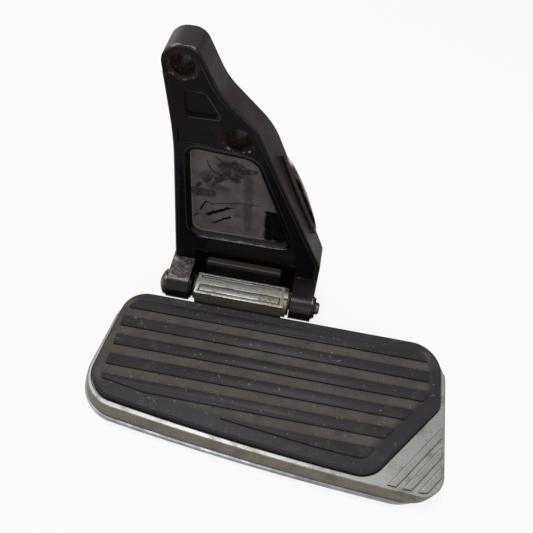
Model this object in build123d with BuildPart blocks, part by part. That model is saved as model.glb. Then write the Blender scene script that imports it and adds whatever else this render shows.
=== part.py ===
from build123d import *
import os
from math import asin, cos, hypot, radians, sin

# Folding motorcycle floorboard: a cast bracket with two ears, a hinge arm on a
# headed pin, and a cast board with a ribbed rubber tread. Millimetres, Z up.
# The board points along -Y, the hinge pin lies along X. The frame's origin is the
# upper bolt hole's centre on the bracket's mounting face.

os.makedirs("parts", exist_ok=True)

# Places measured from the middle of the hinge pin: x along the pin, y towards the
# motorcycle, z up.
upper_bolt_x = -43.9
upper_bolt_z = 194.5
lower_bolt_x = -9.7
lower_bolt_z = 146.6

# Bracket casting
face_y = 19.0                  # front face of the casting
bracket_depth = 20.0           # front face to rear edge of the flange
skin = 8.5                     # front face to the floor of the rear hollow
flange_wall = 5.0
pad_height = 1.0               # bolt bosses beyond the flange's rear edge
mount_y = face_y + bracket_depth + pad_height
upper_boss_r = 12.4
lower_boss_r = 12.5
waist_x = -52.6
waist_z = 140.0
waist_r = 300.0
crown_left_x = -57.5
crown_right_x = -34.6
crown_rise = 13.1              # top of the casting above the upper bolt
crown_left_r = 13.4
crown_right_r = 9.4
neck_x = -21.1
neck_z = 178.5
neck_r = 45.0
shoulder_x = 2.8
shoulder_z = 155.9
shoulder_r = 20.0
flank_lean_x = 7.5             # the flank leans out: its upper corner's shift at the rear
flank_lean_z = -7.8
shoulder_rear_r = 60.0
foot_z = -20.0
bracket_right = 62.0
flank_foot_x = 60.5
flank_foot_z = 31.0
flank_foot_r = 12.0
bead_rise = 1.2                # raised bead round the front face
bead_w = 2.5
bead_slope = 45
bead_fillet = 1.8
bead_wall = 2.4                # upright front part of the sides, before they lean out
upper_bolt_d = 9.0
upper_head_d = 14.8
lower_bolt_d = 11.0
lower_head_d = 17.6
head_depth = 5.0
spot_r = 11.0
spot_depth = 0.6
spot_way_h = 12.0              # the spot face runs out to the left over this height
draft = 8
panel_corners = ((-43.6, 134.0, 8), (2.6, 131.4, 13), (35.2, 47.8, 7), (-44.6, 46.0, 9))
panel_depth = 4.5
pocket_corners = ((-44.0, 178.0, 3.5), (-31.5, 177.8, 5), (-20.2, 160.2, 3), (-44.0, 158.6, 2.5))
pocket_depth = 2.6
band_x = -38.4
band_z = 142.5
band_w = 27.0
band_h = 9.5
band_depth = 0.8
rib_wall = 3.0
rib_rows = (4.0, 62.0, 120.0)
rib_column = -14.0
rib_reach = 120.0
undercut_z = 25.0              # underside of the front skin between the ears
undercut_depth = 5.0
undercut_front = 4.0

# Ears, pin and hinge gap
pin_d = 10.0
running_gap = 0.05             # radial gap round the pin
ear_r = 12.0
ear_thickness = 18.0
ear_gap = 84.0
ear_inner = ear_gap / 2
ear_outer = ear_inner + ear_thickness
pin_head_d = 21.0
pin_head_h = 6.6
pin_end = 3.4                  # pin beyond the clip
washer_t = 1.6
washer_d = 19.0
clip_t = 1.2
clip_d = 17.0
clip_groove_d = 8.4
clip_mouth = 6.0
clip_eye_d = 3.0
clip_eye_angle = 42
pin_chamfer = 1.0
pin_dome = 4.0                 # rounding of the pin's head, along the pin

# Hinge arm
arm_left = -35.5
arm_right = 36.5
barrel_right = 39.5
arm_top = 12.0
arm_top_rear = 6.7
arm_nose = 48.0                # angle on the barrel where the lug's rear slope begins
arm_fields = ((4.0, 2.4), (-7.2, 6.8))    # place along y and height of the framed fields
field_end = 6.0
field_depth = 0.3
field_groove = 0.9
field_frame = 0.7
foot_t = 6.0
foot_reach = 88.0
foot_shoulder = -32.0
foot_end_w = 58.0
foot_root = 1.0                # foot's overlap with the lug
heel_y = 18.8
heel_top = -6.0
heel_slope = 2.0               # fall of the heel's top from the barrel to its rear
heel_cut = 3.0
bush_d = 13.0
bush_l = 20.0
left_flange_t = 2.5
right_flange_t = 2.0
bush_flange_d = 20.0
press_gap = 0.02
small_chamfer = 0.5
thrust_t = 1.2
thrust_d = 21.0
spring_t = 0.9
spring_gap = 0.1
spring_play = 0.3              # spring washer round the pin
spring_edge = 0.6              # spring washer inside the bush's flange
washer_chamfer = 0.3

# Stop plate behind the arm
stop_w = 63.0
stop_x = -1.0
stop_top = 12.0
stop_foot = -15.0
stop_corner = 2.5
stop_fillet = 1.0
stop_screw_d = 4.0
stop_screw_x = 22.0
stop_screw_z = -8.0

# Board frame
board_rear = -13.2
rear_left_x = -90.5
front_left_x = -101.5
front_left_y = -107.0
front_right_y = -132.2
side_lean = 4.2                # right rear corner beyond the right front corner
front_bow = 4.3
corner_rl = 24.0
corner_rr = 28.0
corner_fr = 17.0
corner_fr_low = 24.0           # right front corner at the skirt's foot
corner_fl = 28.0
rim_z = -5.0
pan_z = -8.0                   # the tread lies on this level
pan_t = 3.5
skirt_z = -18.0
skirt_flare = 2.6
rim_w = 3.4
skirt_wall = 3.6
diagonal_angle = -38.75        # direction square to the bare corner's edge
diagonal_reach = 169.0         # pin middle to the tread's diagonal edge
bare_corner = 45.0             # from that edge to the board's sharp corner
cut_low_r = 26.0
cut_high_r = 18.0
rim_fillet = 1.0
rim_end = -36.0                # the rim runs out here, before the rear corners
corner_rib_w = 4.7
corner_rib_pitch = 8.6
corner_rib_first = 14.5
corner_rib_count = 3
corner_rib_rise = 1.6
corner_rib_margin = 2.2
frame_rib_t = 2.5
frame_rib_h = 4.5
frame_rib_columns = (-55.5, 48.5, 100.0)
frame_rib_gap = 4.75           # cross rib beyond the arm's foot
arm_gap = 1.0                  # arm to the sides of its opening in the rear wall

# Rubber tread
tread_fit = 0.3
tread_lean = 2.2               # the rim narrows by this towards its left rear end
tread_rear_gap = 1.0           # metal showing along the rear edge
tread_bevel = 2.3
tread_rib_rise = 1.8
tread_rib_taper = 10
tread_rib_w = 8.2
tread_rib_pitch = 16.8
tread_rib_first = -26.9
tread_rib_count = 6
tread_margin = 8.3             # plain border in front of the ribs
rib_left_x = -85.5
rib_rear_y = -17.5
rib_corner_r = 22.0
rib_tip_r = 8.0
rib_diagonal_margin = 10.3
peg_d = 7.0
peg_gap = 0.3
peg_reach = 4.0
peg_left_edge = 18.5           # outer pegs from the sides of the board
peg_right_edge = 50.5
peg_middle_x = 60.0
peg_rear_y = -36.0
peg_front_y = -88.0
retainer_d = 14.0
retainer_t = 1.2

# Arm screws, seal and bottom plate
arm_screw_d = 6.0
arm_screw_head = 12.0
arm_screw_key = 4.0
arm_screw_x = 26.0
arm_screw_near = 5.0           # near screws behind the foot's shoulder
arm_screw_far = 12.0           # far screws behind the foot's end
sunk_gap = 0.1                 # screw heads below the surface they are sunk in
screw_gap = 0.05
screw_end_gap = 0.3
seal_t = 1.0
seal_w = 2.2
seal_inset = 1.4
plate_h = 6.0
plate_t = 1.8
plate_lip = 1.6
plate_corner = 34.0
plate_edge = 3.0
plate_fillet = 1.2
plate_screw_d = 5.0
plate_screw_reach = 9.0
plate_hole_gap = 0.3
plate_head_d = 9.5
plate_head_h = 2.6
plate_slot_l = 4.6
plate_slot_w = 1.1
plate_boss_d = 11.0
plate_left_edge = 10.5         # outer screws from the sides of the board
plate_right_edge = 24.5
plate_left_y = -62.0
plate_right_y = -52.0
plate_middle_x = 62.0
plate_middle_y = -66.0
plate_front_x = 20.0
plate_front_y = -106.0

# Chrome trim on the right flank
trim_half = 40.2
trim_width = 10.0
lens_front = 0.15              # share of a lens's width in front of its tips
trim_front_y = 29.5
trim_base_t = 2.0
trim_rise = 3.0
trim_cap_tip = 1.2             # base beyond the dome at each tip
trim_cap_width = 7.4
trim_cap_shift = 1.6
trim_dome_angles = (0, 35, 58, 75)
trim_seat = 0.4                # seat of the trim above the flank's rear edge
trim_seat_t = 4.5              # wall under the trim's screw heads
trim_seat_inset = 0.6
trim_screw_d = 3.0
trim_screw_x = 14.0
trim_screw_y = 4.4
trim_screw_reach = 1.8
trim_head_d = 5.4
trim_head_h = 1.8
trim_slot_w = 0.9
trim_bore_d = 6.4
trim_bore_l = 6.0
trim_shift = 60.0              # trim middle, measured down the flank from the shoulder corner

# Derived levels and places
pin_x, pin_y, pin_z = -upper_bolt_x, -mount_y, -upper_bolt_z
crown_z = upper_bolt_z + crown_rise
shoulder_rear_x, shoulder_rear_z = shoulder_x + flank_lean_x, shoulder_z + flank_lean_z
foot_top = pan_z - pan_t
foot_low = foot_top - foot_t
arm_middle = (arm_left + arm_right) / 2
plate_top = skirt_z - seal_t
plate_low = plate_top - plate_h
plate_floor = plate_low + plate_t
board_depth = board_rear - front_right_y
diagonal_x, diagonal_y = cos(radians(diagonal_angle)), sin(radians(diagonal_angle))
front_right_x = (diagonal_reach + bare_corner - front_right_y * diagonal_y) / diagonal_x
rear_right_x = front_right_x + side_lean
frame_rib_row = -foot_reach - frame_rib_gap - frame_rib_t / 2
arm_screw_rows = (foot_shoulder + arm_screw_near, arm_screw_far - foot_reach)
arm_screw_spots = [(arm_middle + side * arm_screw_x, y) for side in (-1, 1) for y in arm_screw_rows]
peg_columns = (rear_left_x + peg_left_edge, peg_middle_x, rear_right_x - peg_right_edge)
peg_spots = [(x, y) for x in peg_columns for y in (peg_rear_y, peg_front_y)]
plate_spots = (
    (rear_left_x + plate_left_edge, plate_left_y),
    (plate_middle_x, plate_middle_y),
    (rear_right_x - plate_right_edge, plate_right_y),
    (plate_front_x, plate_front_y),
)
stop_screw_spots = [(stop_x + side * stop_screw_x, stop_screw_z) for side in (-1, 1)]
trim_screw_spots = [(side * trim_screw_x, trim_screw_y) for side in (-1, 1)]


def front_plane(y):
    """Upright plane facing the rider's foot: x across, then z up, from the pin's middle."""
    return Plane(origin=(pin_x, pin_y + y, pin_z), x_dir=(1, 0, 0), z_dir=(0, -1, 0))


def level_plane(z):
    """Level plane, seen from above, with its origin over the pin's middle."""
    return Plane(origin=(pin_x, pin_y, pin_z + z))


def side_plane(x):
    """Plane square to the pin: y across, then z up."""
    return Plane(origin=(pin_x + x, pin_y, pin_z), x_dir=(0, 1, 0), z_dir=(1, 0, 0))


def corner_at(shape, point):
    """The vertex of a flat shape that lies nearest to a point."""
    return shape.vertices().sort_by_distance(Vector(point[0], point[1], 0))[0]


def rounded_shape(corners):
    """A closed flat shape from corners given as across, up and corner radius."""
    with BuildSketch() as view:
        with BuildLine():
            Polyline(*[(x, y) for x, y, radius in corners], close=True)
        make_face()
        for x, y, radius in corners:
            if radius:
                fillet(corner_at(view, (x, y)), radius)
    return view.sketch


def bracket_outline(inset=0.0, shoulder=(shoulder_x, shoulder_z, shoulder_r)):
    """Front view of the casting: crown, waist, shoulder round the lower bolt, flank."""
    with BuildSketch() as view:
        add(rounded_shape((
            (-ear_outer, foot_z, 0),
            (waist_x, waist_z, waist_r),
            (crown_left_x, crown_z, crown_left_r),
            (crown_right_x, crown_z, crown_right_r),
            (neck_x, neck_z, neck_r),
            shoulder,
            (flank_foot_x, flank_foot_z, flank_foot_r),
            (bracket_right, foot_z, 0),
        )))
        if inset:
            offset(amount=-inset, kind=Kind.INTERSECTION)
    return view.sketch


def ring(outer, inner):
    """A flat ring."""
    with BuildSketch() as flat:
        Circle(outer / 2)
        Circle(inner / 2, mode=Mode.SUBTRACT)
    return flat.sketch


def lens(half, width):
    """Lens shape: a nearly straight front edge and a bowed rear edge."""
    with BuildSketch() as view:
        with BuildLine():
            ThreePointArc((-half, 0), (0, -width * lens_front), (half, 0))
            ThreePointArc((half, 0), (0, width * (1 - lens_front)), (-half, 0))
        make_face()
    return view.sketch


def plan_corners(inset, rear_inset, lean):
    """Left front, left rear, right rear and right front corner of the board's plan."""
    return (
        (front_left_x + inset, front_left_y + inset),
        (rear_left_x + inset - lean, board_rear - rear_inset),
        (rear_right_x - inset, board_rear - rear_inset),
        (front_right_x - inset, front_right_y + inset),
    )


def board_plan(inset, front_radius=corner_fr, rear_inset=0.0, lean=0.0, cut_reach=0.0):
    """Plan of the cast board, pulled in from its outer edge; the front edge is bowed.

    With cut_reach its right front corner is cut off at that distance from the pin's middle.
    """
    left, rear_left, rear_right, right = plan_corners(inset, rear_inset, lean)
    with BuildSketch() as plan:
        with BuildLine():
            Polyline(left, rear_left, rear_right, right)
            bow = ((left[0] + right[0]) / 2, (left[1] + right[1]) / 2 - front_bow)
            ThreePointArc(right, bow, left)
        make_face()
        if cut_reach:
            half = board_depth / 2
            with Locations(((cut_reach + half) * diagonal_x, (cut_reach + half) * diagonal_y)):
                Rectangle(2 * half, 6 * half, rotation=diagonal_angle, mode=Mode.SUBTRACT)
            on_cut = [v for v in plan.vertices()
                      if abs(v.X * diagonal_x + v.Y * diagonal_y - cut_reach) < 0.01]
            low, high = [(v.X, v.Y) for v in sorted(on_cut, key=lambda v: v.X)]
            fillet(corner_at(plan, low), cut_low_r - inset)
            fillet(corner_at(plan, high), cut_high_r - inset)
        else:
            fillet(corner_at(plan, right), front_radius - inset)
        fillet(corner_at(plan, rear_left), corner_rl - inset)
        fillet(corner_at(plan, rear_right), corner_rr - inset)
        fillet(corner_at(plan, left), corner_fl - inset)
    return plan.sketch


def tread_plan(inset, rear_inset=0.0):
    """Plan of the tread: the board's plan with its right front corner cut off."""
    return board_plan(inset, rear_inset=rear_inset, lean=tread_lean,
                      cut_reach=diagonal_reach + rim_w + tread_bevel - inset)


def rib_field():
    """Area the tread's ribs fill: straight at the sides, bowed in front, cut along the diagonal."""
    edge = rim_w + tread_bevel + tread_margin
    reach = diagonal_reach - rib_diagonal_margin
    left, rear_left, rear_right, right = plan_corners(edge, 0, 0)
    with BuildSketch() as field:
        with BuildLine():
            Polyline(left, (left[0], rib_rear_y), (rear_right[0], rib_rear_y), right)
            bow = ((left[0] + right[0]) / 2, (left[1] + right[1]) / 2 - front_bow)
            ThreePointArc(right, bow, left)
        make_face()
        with Locations((rib_left_x, rib_rear_y)):
            Rectangle(2 * rear_right_x, 3 * board_depth, align=(Align.MIN, Align.CENTER),
                      mode=Mode.INTERSECT)
        with Locations(((reach + board_depth / 2) * diagonal_x, (reach + board_depth / 2) * diagonal_y)):
            Rectangle(board_depth, 3 * board_depth, rotation=diagonal_angle, mode=Mode.SUBTRACT)
        rear = field.vertices().group_by(Axis.Y)[-1]
        fillet(rear, rib_corner_r)
        front = field.vertices().sort_by(Axis.Y)
        fillet(front[0], rib_tip_r)
    return field.sketch


def finish(builder, name):
    """Labels a finished piece and writes it to its own file."""
    builder.part.label = name
    export_step(builder.part, f"parts/{name}.step")
    print(name, round(builder.part.volume / 1000, 2), "cm3", len(builder.part.solids()))


# The flank runs from its top to its foot; the trim's plane lies just outside its rear edge.
flank_run = hypot(flank_foot_x - shoulder_rear_x, flank_foot_z - shoulder_rear_z)
flank_dir = ((flank_foot_x - shoulder_rear_x) / flank_run, 0, (flank_foot_z - shoulder_rear_z) / flank_run)
flank_out = (-flank_dir[2], 0, flank_dir[0])
trim_origin = (
    pin_x + shoulder_rear_x + flank_dir[0] * trim_shift + flank_out[0] * trim_seat,
    pin_y + trim_front_y + trim_width * lens_front,
    pin_z + shoulder_rear_z + flank_dir[2] * trim_shift + flank_out[2] * trim_seat,
)
trim_plane = Plane(origin=trim_origin, x_dir=flank_dir, z_dir=flank_out)

with BuildPart() as bracket:
    with BuildSketch(front_plane(face_y - bead_rise)):
        add(bracket_outline())
    extrude(amount=-bead_wall)
    fillet(bracket.faces().sort_by(Axis.Y)[0].edges(), bead_fillet)
    with BuildSketch(front_plane(face_y - bead_rise + bead_wall)):
        add(bracket_outline())
    with BuildSketch(front_plane(face_y + bracket_depth)):
        add(bracket_outline(shoulder=(shoulder_rear_x, shoulder_rear_z, shoulder_rear_r)))
    loft(ruled=True)
    # face sunk inside the bead, spot face that runs out to the left
    with BuildSketch(front_plane(face_y - bead_rise)):
        add(bracket_outline(bead_w))
        with Locations((0, foot_z)):
            Rectangle(2 * (ear_outer - bead_w), 4 * bead_w)
    extrude(amount=-bead_rise, taper=bead_slope, mode=Mode.SUBTRACT)
    with BuildSketch(front_plane(face_y + spot_depth)):
        with Locations((upper_bolt_x, upper_bolt_z)):
            Circle(spot_r)
            Rectangle(2 * spot_r, spot_way_h, align=(Align.MAX, Align.CENTER))
    extrude(amount=2 * bead_rise, mode=Mode.SUBTRACT)
    # sunk panel, pocket and band
    with BuildSketch(front_plane(face_y)):
        add(rounded_shape(panel_corners))
    extrude(amount=-panel_depth, taper=draft, mode=Mode.SUBTRACT)
    with BuildSketch(front_plane(face_y)):
        add(rounded_shape(pocket_corners))
    extrude(amount=-pocket_depth, taper=draft, mode=Mode.SUBTRACT)
    with BuildSketch(front_plane(face_y)):
        with Locations((band_x, band_z)):
            RectangleRounded(band_w, band_h, band_h / 4)
    extrude(amount=-band_depth, mode=Mode.SUBTRACT)
    # rear hollow with cross ribs and bolt bosses that end in the mounting face
    with BuildSketch(front_plane(face_y + bracket_depth)):
        add(bracket_outline(flange_wall))
        with Locations(*[(0, z) for z in rib_rows]):
            Rectangle(6 * ear_outer, rib_wall, mode=Mode.SUBTRACT)
        with Locations((rib_column, 0)):
            Rectangle(rib_wall, 2 * rib_reach, mode=Mode.SUBTRACT)
    extrude(amount=bracket_depth - skin, mode=Mode.SUBTRACT)
    with BuildSketch(front_plane(mount_y)):
        with Locations((upper_bolt_x, upper_bolt_z)):
            Circle(upper_boss_r)
        with Locations((lower_bolt_x, lower_bolt_z)):
            Circle(lower_boss_r)
    extrude(amount=mount_y - face_y - head_depth)
    # hinge ears and the undercut between them
    for side in (-1, 1):
        with BuildSketch(side_plane(side * ear_inner)):
            Circle(ear_r)
            with Locations((ear_r, 0)):
                Rectangle(2 * ear_r, 2 * ear_r)
            with Locations((face_y + skin / 2, 0)):
                Rectangle(skin, 2 * ear_r)
        extrude(amount=side * ear_thickness)
    with BuildSketch(front_plane(face_y + undercut_depth)):
        with Locations((0, (undercut_z + foot_z) / 2)):
            Rectangle(ear_gap, undercut_z - foot_z)
    extrude(amount=undercut_depth + undercut_front, mode=Mode.SUBTRACT)
    # flat seat for the trim on the leaning flank, with screw holes from the rear hollow
    with BuildSketch(trim_plane):
        add(lens(trim_half - trim_seat_inset, trim_width - trim_seat_inset))
    extrude(amount=-trim_seat_t)
    with BuildSketch(trim_plane):
        with Locations(*trim_screw_spots):
            Circle(trim_screw_d / 2 + screw_gap)
    extrude(amount=-trim_seat_t, mode=Mode.SUBTRACT)
    with BuildSketch(trim_plane.offset(-trim_seat_t)):
        with Locations(*trim_screw_spots):
            Circle(trim_bore_d / 2)
    extrude(amount=-trim_bore_l, mode=Mode.SUBTRACT)
    # bolt holes with head recesses, pin bores
    for x, z, hole, head in ((upper_bolt_x, upper_bolt_z, upper_bolt_d, upper_head_d),
                             (lower_bolt_x, lower_bolt_z, lower_bolt_d, lower_head_d)):
        with BuildSketch(front_plane(mount_y)):
            with Locations((x, z)):
                Circle(hole / 2)
        extrude(amount=2 * bracket_depth, mode=Mode.SUBTRACT)
        with BuildSketch(front_plane(face_y + head_depth)):
            with Locations((x, z)):
                Circle(head / 2)
        extrude(amount=bracket_depth, mode=Mode.SUBTRACT)
    with BuildSketch(side_plane(-ear_outer)):
        Circle(pin_d / 2 + running_gap)
    extrude(amount=2 * ear_outer, mode=Mode.SUBTRACT)
    with BuildSketch(front_plane(face_y)):
        with Locations(*stop_screw_spots):
            Circle(stop_screw_d / 2)
    extrude(amount=-skin, mode=Mode.SUBTRACT)
finish(bracket, "bracket")

# Stop plate: a steel plate screwed to the wall behind the arm; the arm's heel rests on it.
with BuildPart() as stop_plate:
    with BuildSketch(front_plane(face_y)):
        with Locations((stop_x, (stop_top + stop_foot) / 2)):
            RectangleRounded(stop_w, stop_top - stop_foot, stop_corner)
    extrude(amount=-undercut_depth)
    fillet(stop_plate.faces().sort_by(Axis.Y)[0].edges(), stop_fillet)
    with Locations(*[front_plane(face_y) * Pos(x, z) for x, z in stop_screw_spots]):
        CounterSinkHole(stop_screw_d / 2 + screw_gap, stop_screw_d, 2 * undercut_depth,
                        counter_sink_angle=90)
finish(stop_plate, "stop_plate")

with BuildPart() as stop_plate_screws:
    for x, z in stop_screw_spots:
        with BuildSketch(side_plane(x)):
            with BuildLine():
                shank, head = stop_screw_d / 2 - screw_gap, stop_screw_d - screw_gap - sunk_gap
                top, low = face_y + sunk_gap, face_y + skin
                Polyline((top, z), (top, z + head), (top + head - shank, z + shank), (low, z + shank),
                         (low, z), close=True)
            make_face()
        revolve(axis=Axis((pin_x + x, pin_y, pin_z + z), (0, 1, 0)))
finish(stop_plate_screws, "stop_plate_screws")

# Hinge pin with its domed head, washer and clip
pin_axis = Axis((pin_x, pin_y, pin_z), (1, 0, 0))
clip_x = ear_outer + washer_t
with BuildPart() as hinge_pin:
    with BuildSketch(level_plane(0)):
        with BuildLine():
            end = clip_x + clip_t + pin_end
            head = -ear_outer - pin_head_h
            groove, shank, cap = clip_groove_d / 2, pin_d / 2, pin_head_d / 2
            dome_r = (cap ** 2 + pin_dome ** 2) / (2 * pin_dome)
            dome_half = asin(cap / dome_r) / 2
            Polyline((head, 0), (end, 0), (end, shank - pin_chamfer), (end - pin_chamfer, shank),
                     (clip_x + clip_t, shank), (clip_x + clip_t, groove), (clip_x, groove),
                     (clip_x, shank), (-ear_outer, shank), (-ear_outer, cap), (head + pin_dome, cap))
            ThreePointArc((head + pin_dome, cap), (head + dome_r - dome_r * cos(dome_half),
                                                   dome_r * sin(dome_half)), (head, 0))
        make_face()
    revolve(axis=pin_axis)
finish(hinge_pin, "hinge_pin")


with BuildPart() as pin_washer:
    with BuildSketch(side_plane(ear_outer)):
        add(ring(washer_d, pin_d + 4 * running_gap))
    extrude(amount=washer_t)
    chamfer(pin_washer.edges().filter_by(GeomType.CIRCLE).sort_by(SortBy.RADIUS)[-2:], washer_chamfer)
finish(pin_washer, "pin_washer")

with BuildPart() as pin_clip:
    with BuildSketch(side_plane(clip_x)):
        add(ring(clip_d, clip_groove_d + 2 * running_gap))
        with Locations((0, -clip_d / 2)):
            Rectangle(clip_mouth, clip_d, mode=Mode.SUBTRACT)
        with PolarLocations(clip_groove_d / 2, 2, clip_eye_angle, 180 - 2 * clip_eye_angle):
            Circle(clip_eye_d / 2, mode=Mode.SUBTRACT)
    extrude(amount=clip_t)
finish(pin_clip, "pin_clip")

with BuildPart() as thrust_washer:
    with BuildSketch(side_plane(-ear_inner)):
        add(ring(thrust_d, pin_d + 4 * running_gap))
    extrude(amount=thrust_t)
finish(thrust_washer, "thrust_washer")

# Coned spring washer: gives the friction that keeps the board where it is put
with BuildPart() as spring_washer:
    with BuildSketch(level_plane(0)):
        with BuildLine():
            foot = -ear_inner + thrust_t
            crown = arm_left - left_flange_t - spring_gap
            inner, outer = pin_d / 2 + spring_play, bush_flange_d / 2 - spring_edge
            Polyline((foot, outer), (foot + spring_t, outer), (crown, inner), (crown - spring_t, inner),
                     close=True)
        make_face()
    revolve(axis=pin_axis)
finish(spring_washer, "spring_washer")

# Hinge arm: square lug with a barrel, a heel and a foot that runs under the board
with BuildPart() as hinge_arm:
    with BuildSketch(side_plane(arm_left)):
        with BuildLine():
            nose = (ear_r * cos(radians(arm_nose)), ear_r * sin(radians(arm_nose)))
            Polyline(nose, (arm_top_rear, arm_top), (board_rear, arm_top), (board_rear, foot_low),
                     (heel_y - heel_cut, foot_low), (heel_y, foot_low + heel_cut),
                     (heel_y, heel_top), (ear_r, heel_top + heel_slope), (ear_r, 0))
            ThreePointArc((ear_r, 0), (ear_r * cos(radians(arm_nose / 2)),
                                       ear_r * sin(radians(arm_nose / 2))), nose)
        make_face()
    extrude(amount=arm_right - arm_left)
    with BuildSketch(side_plane(arm_left)):
        Circle(ear_r)
    extrude(amount=barrel_right - arm_left)
    # two framed fields on the lug's top
    for depth, frame_w in ((field_depth, 0), (field_groove, field_frame)):
        with BuildSketch(level_plane(arm_top)):
            for row, height in arm_fields:
                with Locations((arm_middle, row)):
                    Rectangle(arm_right - arm_left - field_end, height)
                    if frame_w:
                        Rectangle(arm_right - arm_left - field_end - 2 * frame_w, height - 2 * frame_w,
                                  mode=Mode.SUBTRACT)
        extrude(amount=-depth, mode=Mode.SUBTRACT)
    with BuildSketch(level_plane(foot_low)):
        with BuildLine():
            Polyline((arm_left, board_rear + foot_root), (arm_right, board_rear + foot_root),
                     (arm_right, foot_shoulder),
                     (arm_middle + foot_end_w / 2, -foot_reach),
                     (arm_middle - foot_end_w / 2, -foot_reach), (arm_left, foot_shoulder), close=True)
        make_face()
    extrude(amount=foot_t)
    with BuildSketch(side_plane(arm_left)):
        Circle(bush_d / 2)
    extrude(amount=barrel_right - arm_left, mode=Mode.SUBTRACT)
    with BuildSketch(level_plane(foot_low)):
        with Locations(*arm_screw_spots):
            Circle(arm_screw_d / 2 + screw_gap)
    extrude(amount=foot_t, mode=Mode.SUBTRACT)
finish(hinge_arm, "hinge_arm")

# Flanged bushes pressed into the barrel's ends
with BuildPart() as left_bush:
    with BuildSketch(side_plane(arm_left)):
        add(ring(bush_d - 2 * press_gap, pin_d + 2 * running_gap))
    extrude(amount=bush_l)
    with BuildSketch(side_plane(arm_left)):
        add(ring(bush_flange_d, pin_d + 2 * running_gap))
    extrude(amount=-left_flange_t)
    chamfer(left_bush.faces().sort_by(Axis.X)[0].outer_wire().edges(), small_chamfer)
finish(left_bush, "left_bush")

with BuildPart() as right_bush:
    with BuildSketch(side_plane(barrel_right)):
        add(ring(bush_d - 2 * press_gap, pin_d + 2 * running_gap))
    extrude(amount=-bush_l)
    with BuildSketch(side_plane(barrel_right)):
        add(ring(bush_flange_d, pin_d + 2 * running_gap))
    extrude(amount=right_flange_t)
    chamfer(right_bush.faces().sort_by(Axis.X)[-1].outer_wire().edges(), small_chamfer)
finish(right_bush, "right_bush")

# Board frame: cast pan with a narrow rim, flared skirt and a bare ribbed corner
with BuildPart() as board_frame:
    with BuildSketch(level_plane(rim_z)):
        add(board_plan(0))
    with BuildSketch(level_plane(skirt_z)):
        add(board_plan(-skirt_flare, corner_fr_low))
    loft(ruled=True)
    fillet(board_frame.faces().sort_by(Axis.Z)[-1].edges().filter_by(
        lambda e: e.center().Y < pin_y + board_rear - 1), rim_fillet)
    with BuildSketch(level_plane(pan_z)):
        add(tread_plan(rim_w))
        with Locations((0, rim_end)):
            Rectangle(4 * rear_right_x, board_depth, align=(Align.CENTER, Align.MIN))
    extrude(amount=rim_z - pan_z, mode=Mode.SUBTRACT)
    with BuildSketch(level_plane(skirt_z)):
        add(board_plan(skirt_wall - skirt_flare, corner_fr_low, skirt_wall))
    extrude(amount=foot_top - skirt_z, mode=Mode.SUBTRACT)
    # ribs under the pan, clear of the arm's foot
    with BuildSketch(level_plane(foot_top)):
        for x in frame_rib_columns:
            with Locations((x, board_rear - board_depth / 2)):
                Rectangle(frame_rib_t, board_depth)
        with Locations(((frame_rib_columns[0] + frame_rib_columns[1]) / 2, frame_rib_row)):
            Rectangle(frame_rib_columns[1] - frame_rib_columns[0], frame_rib_t)
        add(board_plan(skirt_wall / 2, corner_fr_low, skirt_wall / 2), mode=Mode.INTERSECT)
    extrude(amount=-frame_rib_h)
    # way in for the arm through the rear wall
    with BuildSketch(level_plane(skirt_z)):
        with Locations((arm_middle, board_rear)):
            Rectangle(arm_right - arm_left + 2 * arm_gap, 4 * skirt_wall)
    extrude(amount=foot_top - skirt_z, mode=Mode.SUBTRACT)
    # raised ribs on the bare corner, cut off along the board's edge
    with BuildSketch(level_plane(rim_z)):
        for i in range(corner_rib_count):
            reach = diagonal_reach + corner_rib_first + i * corner_rib_pitch
            with Locations((reach * diagonal_x, reach * diagonal_y)):
                Rectangle(corner_rib_w, 2 * board_depth, rotation=diagonal_angle)
        add(board_plan(corner_rib_margin), mode=Mode.INTERSECT)
    extrude(amount=corner_rib_rise)
    # peg holes, screw holes and bosses for the bottom plate
    with BuildSketch(level_plane(pan_z)):
        with Locations(*peg_spots):
            Circle(peg_d / 2 + peg_gap)
    extrude(amount=-pan_t, mode=Mode.SUBTRACT)
    with Locations(*[level_plane(pan_z) * Pos(x, y, 0) for x, y in arm_screw_spots]):
        CounterSinkHole(arm_screw_d / 2 + screw_gap, arm_screw_head / 2 + screw_gap, 2 * pan_t,
                        counter_sink_angle=90)
    with BuildSketch(level_plane(foot_top)):
        with Locations(*plate_spots):
            Circle(plate_boss_d / 2)
    extrude(amount=plate_floor - foot_top)
    with BuildSketch(level_plane(plate_floor)):
        with Locations(*plate_spots):
            Circle(plate_screw_d / 2 + screw_gap)
    extrude(amount=plate_screw_reach + screw_end_gap, mode=Mode.SUBTRACT)
finish(board_frame, "board_frame")

# Ribbed rubber tread, held by moulded pegs
with BuildPart() as tread_mat:
    with BuildSketch(level_plane(pan_z)):
        add(tread_plan(rim_w + tread_fit, tread_rear_gap))
    with BuildSketch(level_plane(0)):
        add(tread_plan(rim_w + tread_bevel, tread_rear_gap))
    loft(ruled=True)
    with BuildSketch(level_plane(0)):
        with Locations(*[(0, tread_rib_first - i * tread_rib_pitch) for i in range(tread_rib_count)]):
            Rectangle(4 * rear_right_x, tread_rib_w)
        add(rib_field(), mode=Mode.INTERSECT)
    extrude(amount=tread_rib_rise, taper=tread_rib_taper)
    with BuildSketch(level_plane(pan_z)):
        with Locations(*peg_spots):
            Circle(peg_d / 2)
    extrude(amount=-(pan_t + peg_reach))
finish(tread_mat, "tread_mat")

with BuildPart() as mat_retainers:
    with BuildSketch(level_plane(foot_top)):
        with Locations(*peg_spots):
            Circle(retainer_d / 2)
            Circle(peg_d / 2 + screw_gap, mode=Mode.SUBTRACT)
    extrude(amount=-retainer_t)
finish(mat_retainers, "mat_retainers")

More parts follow.
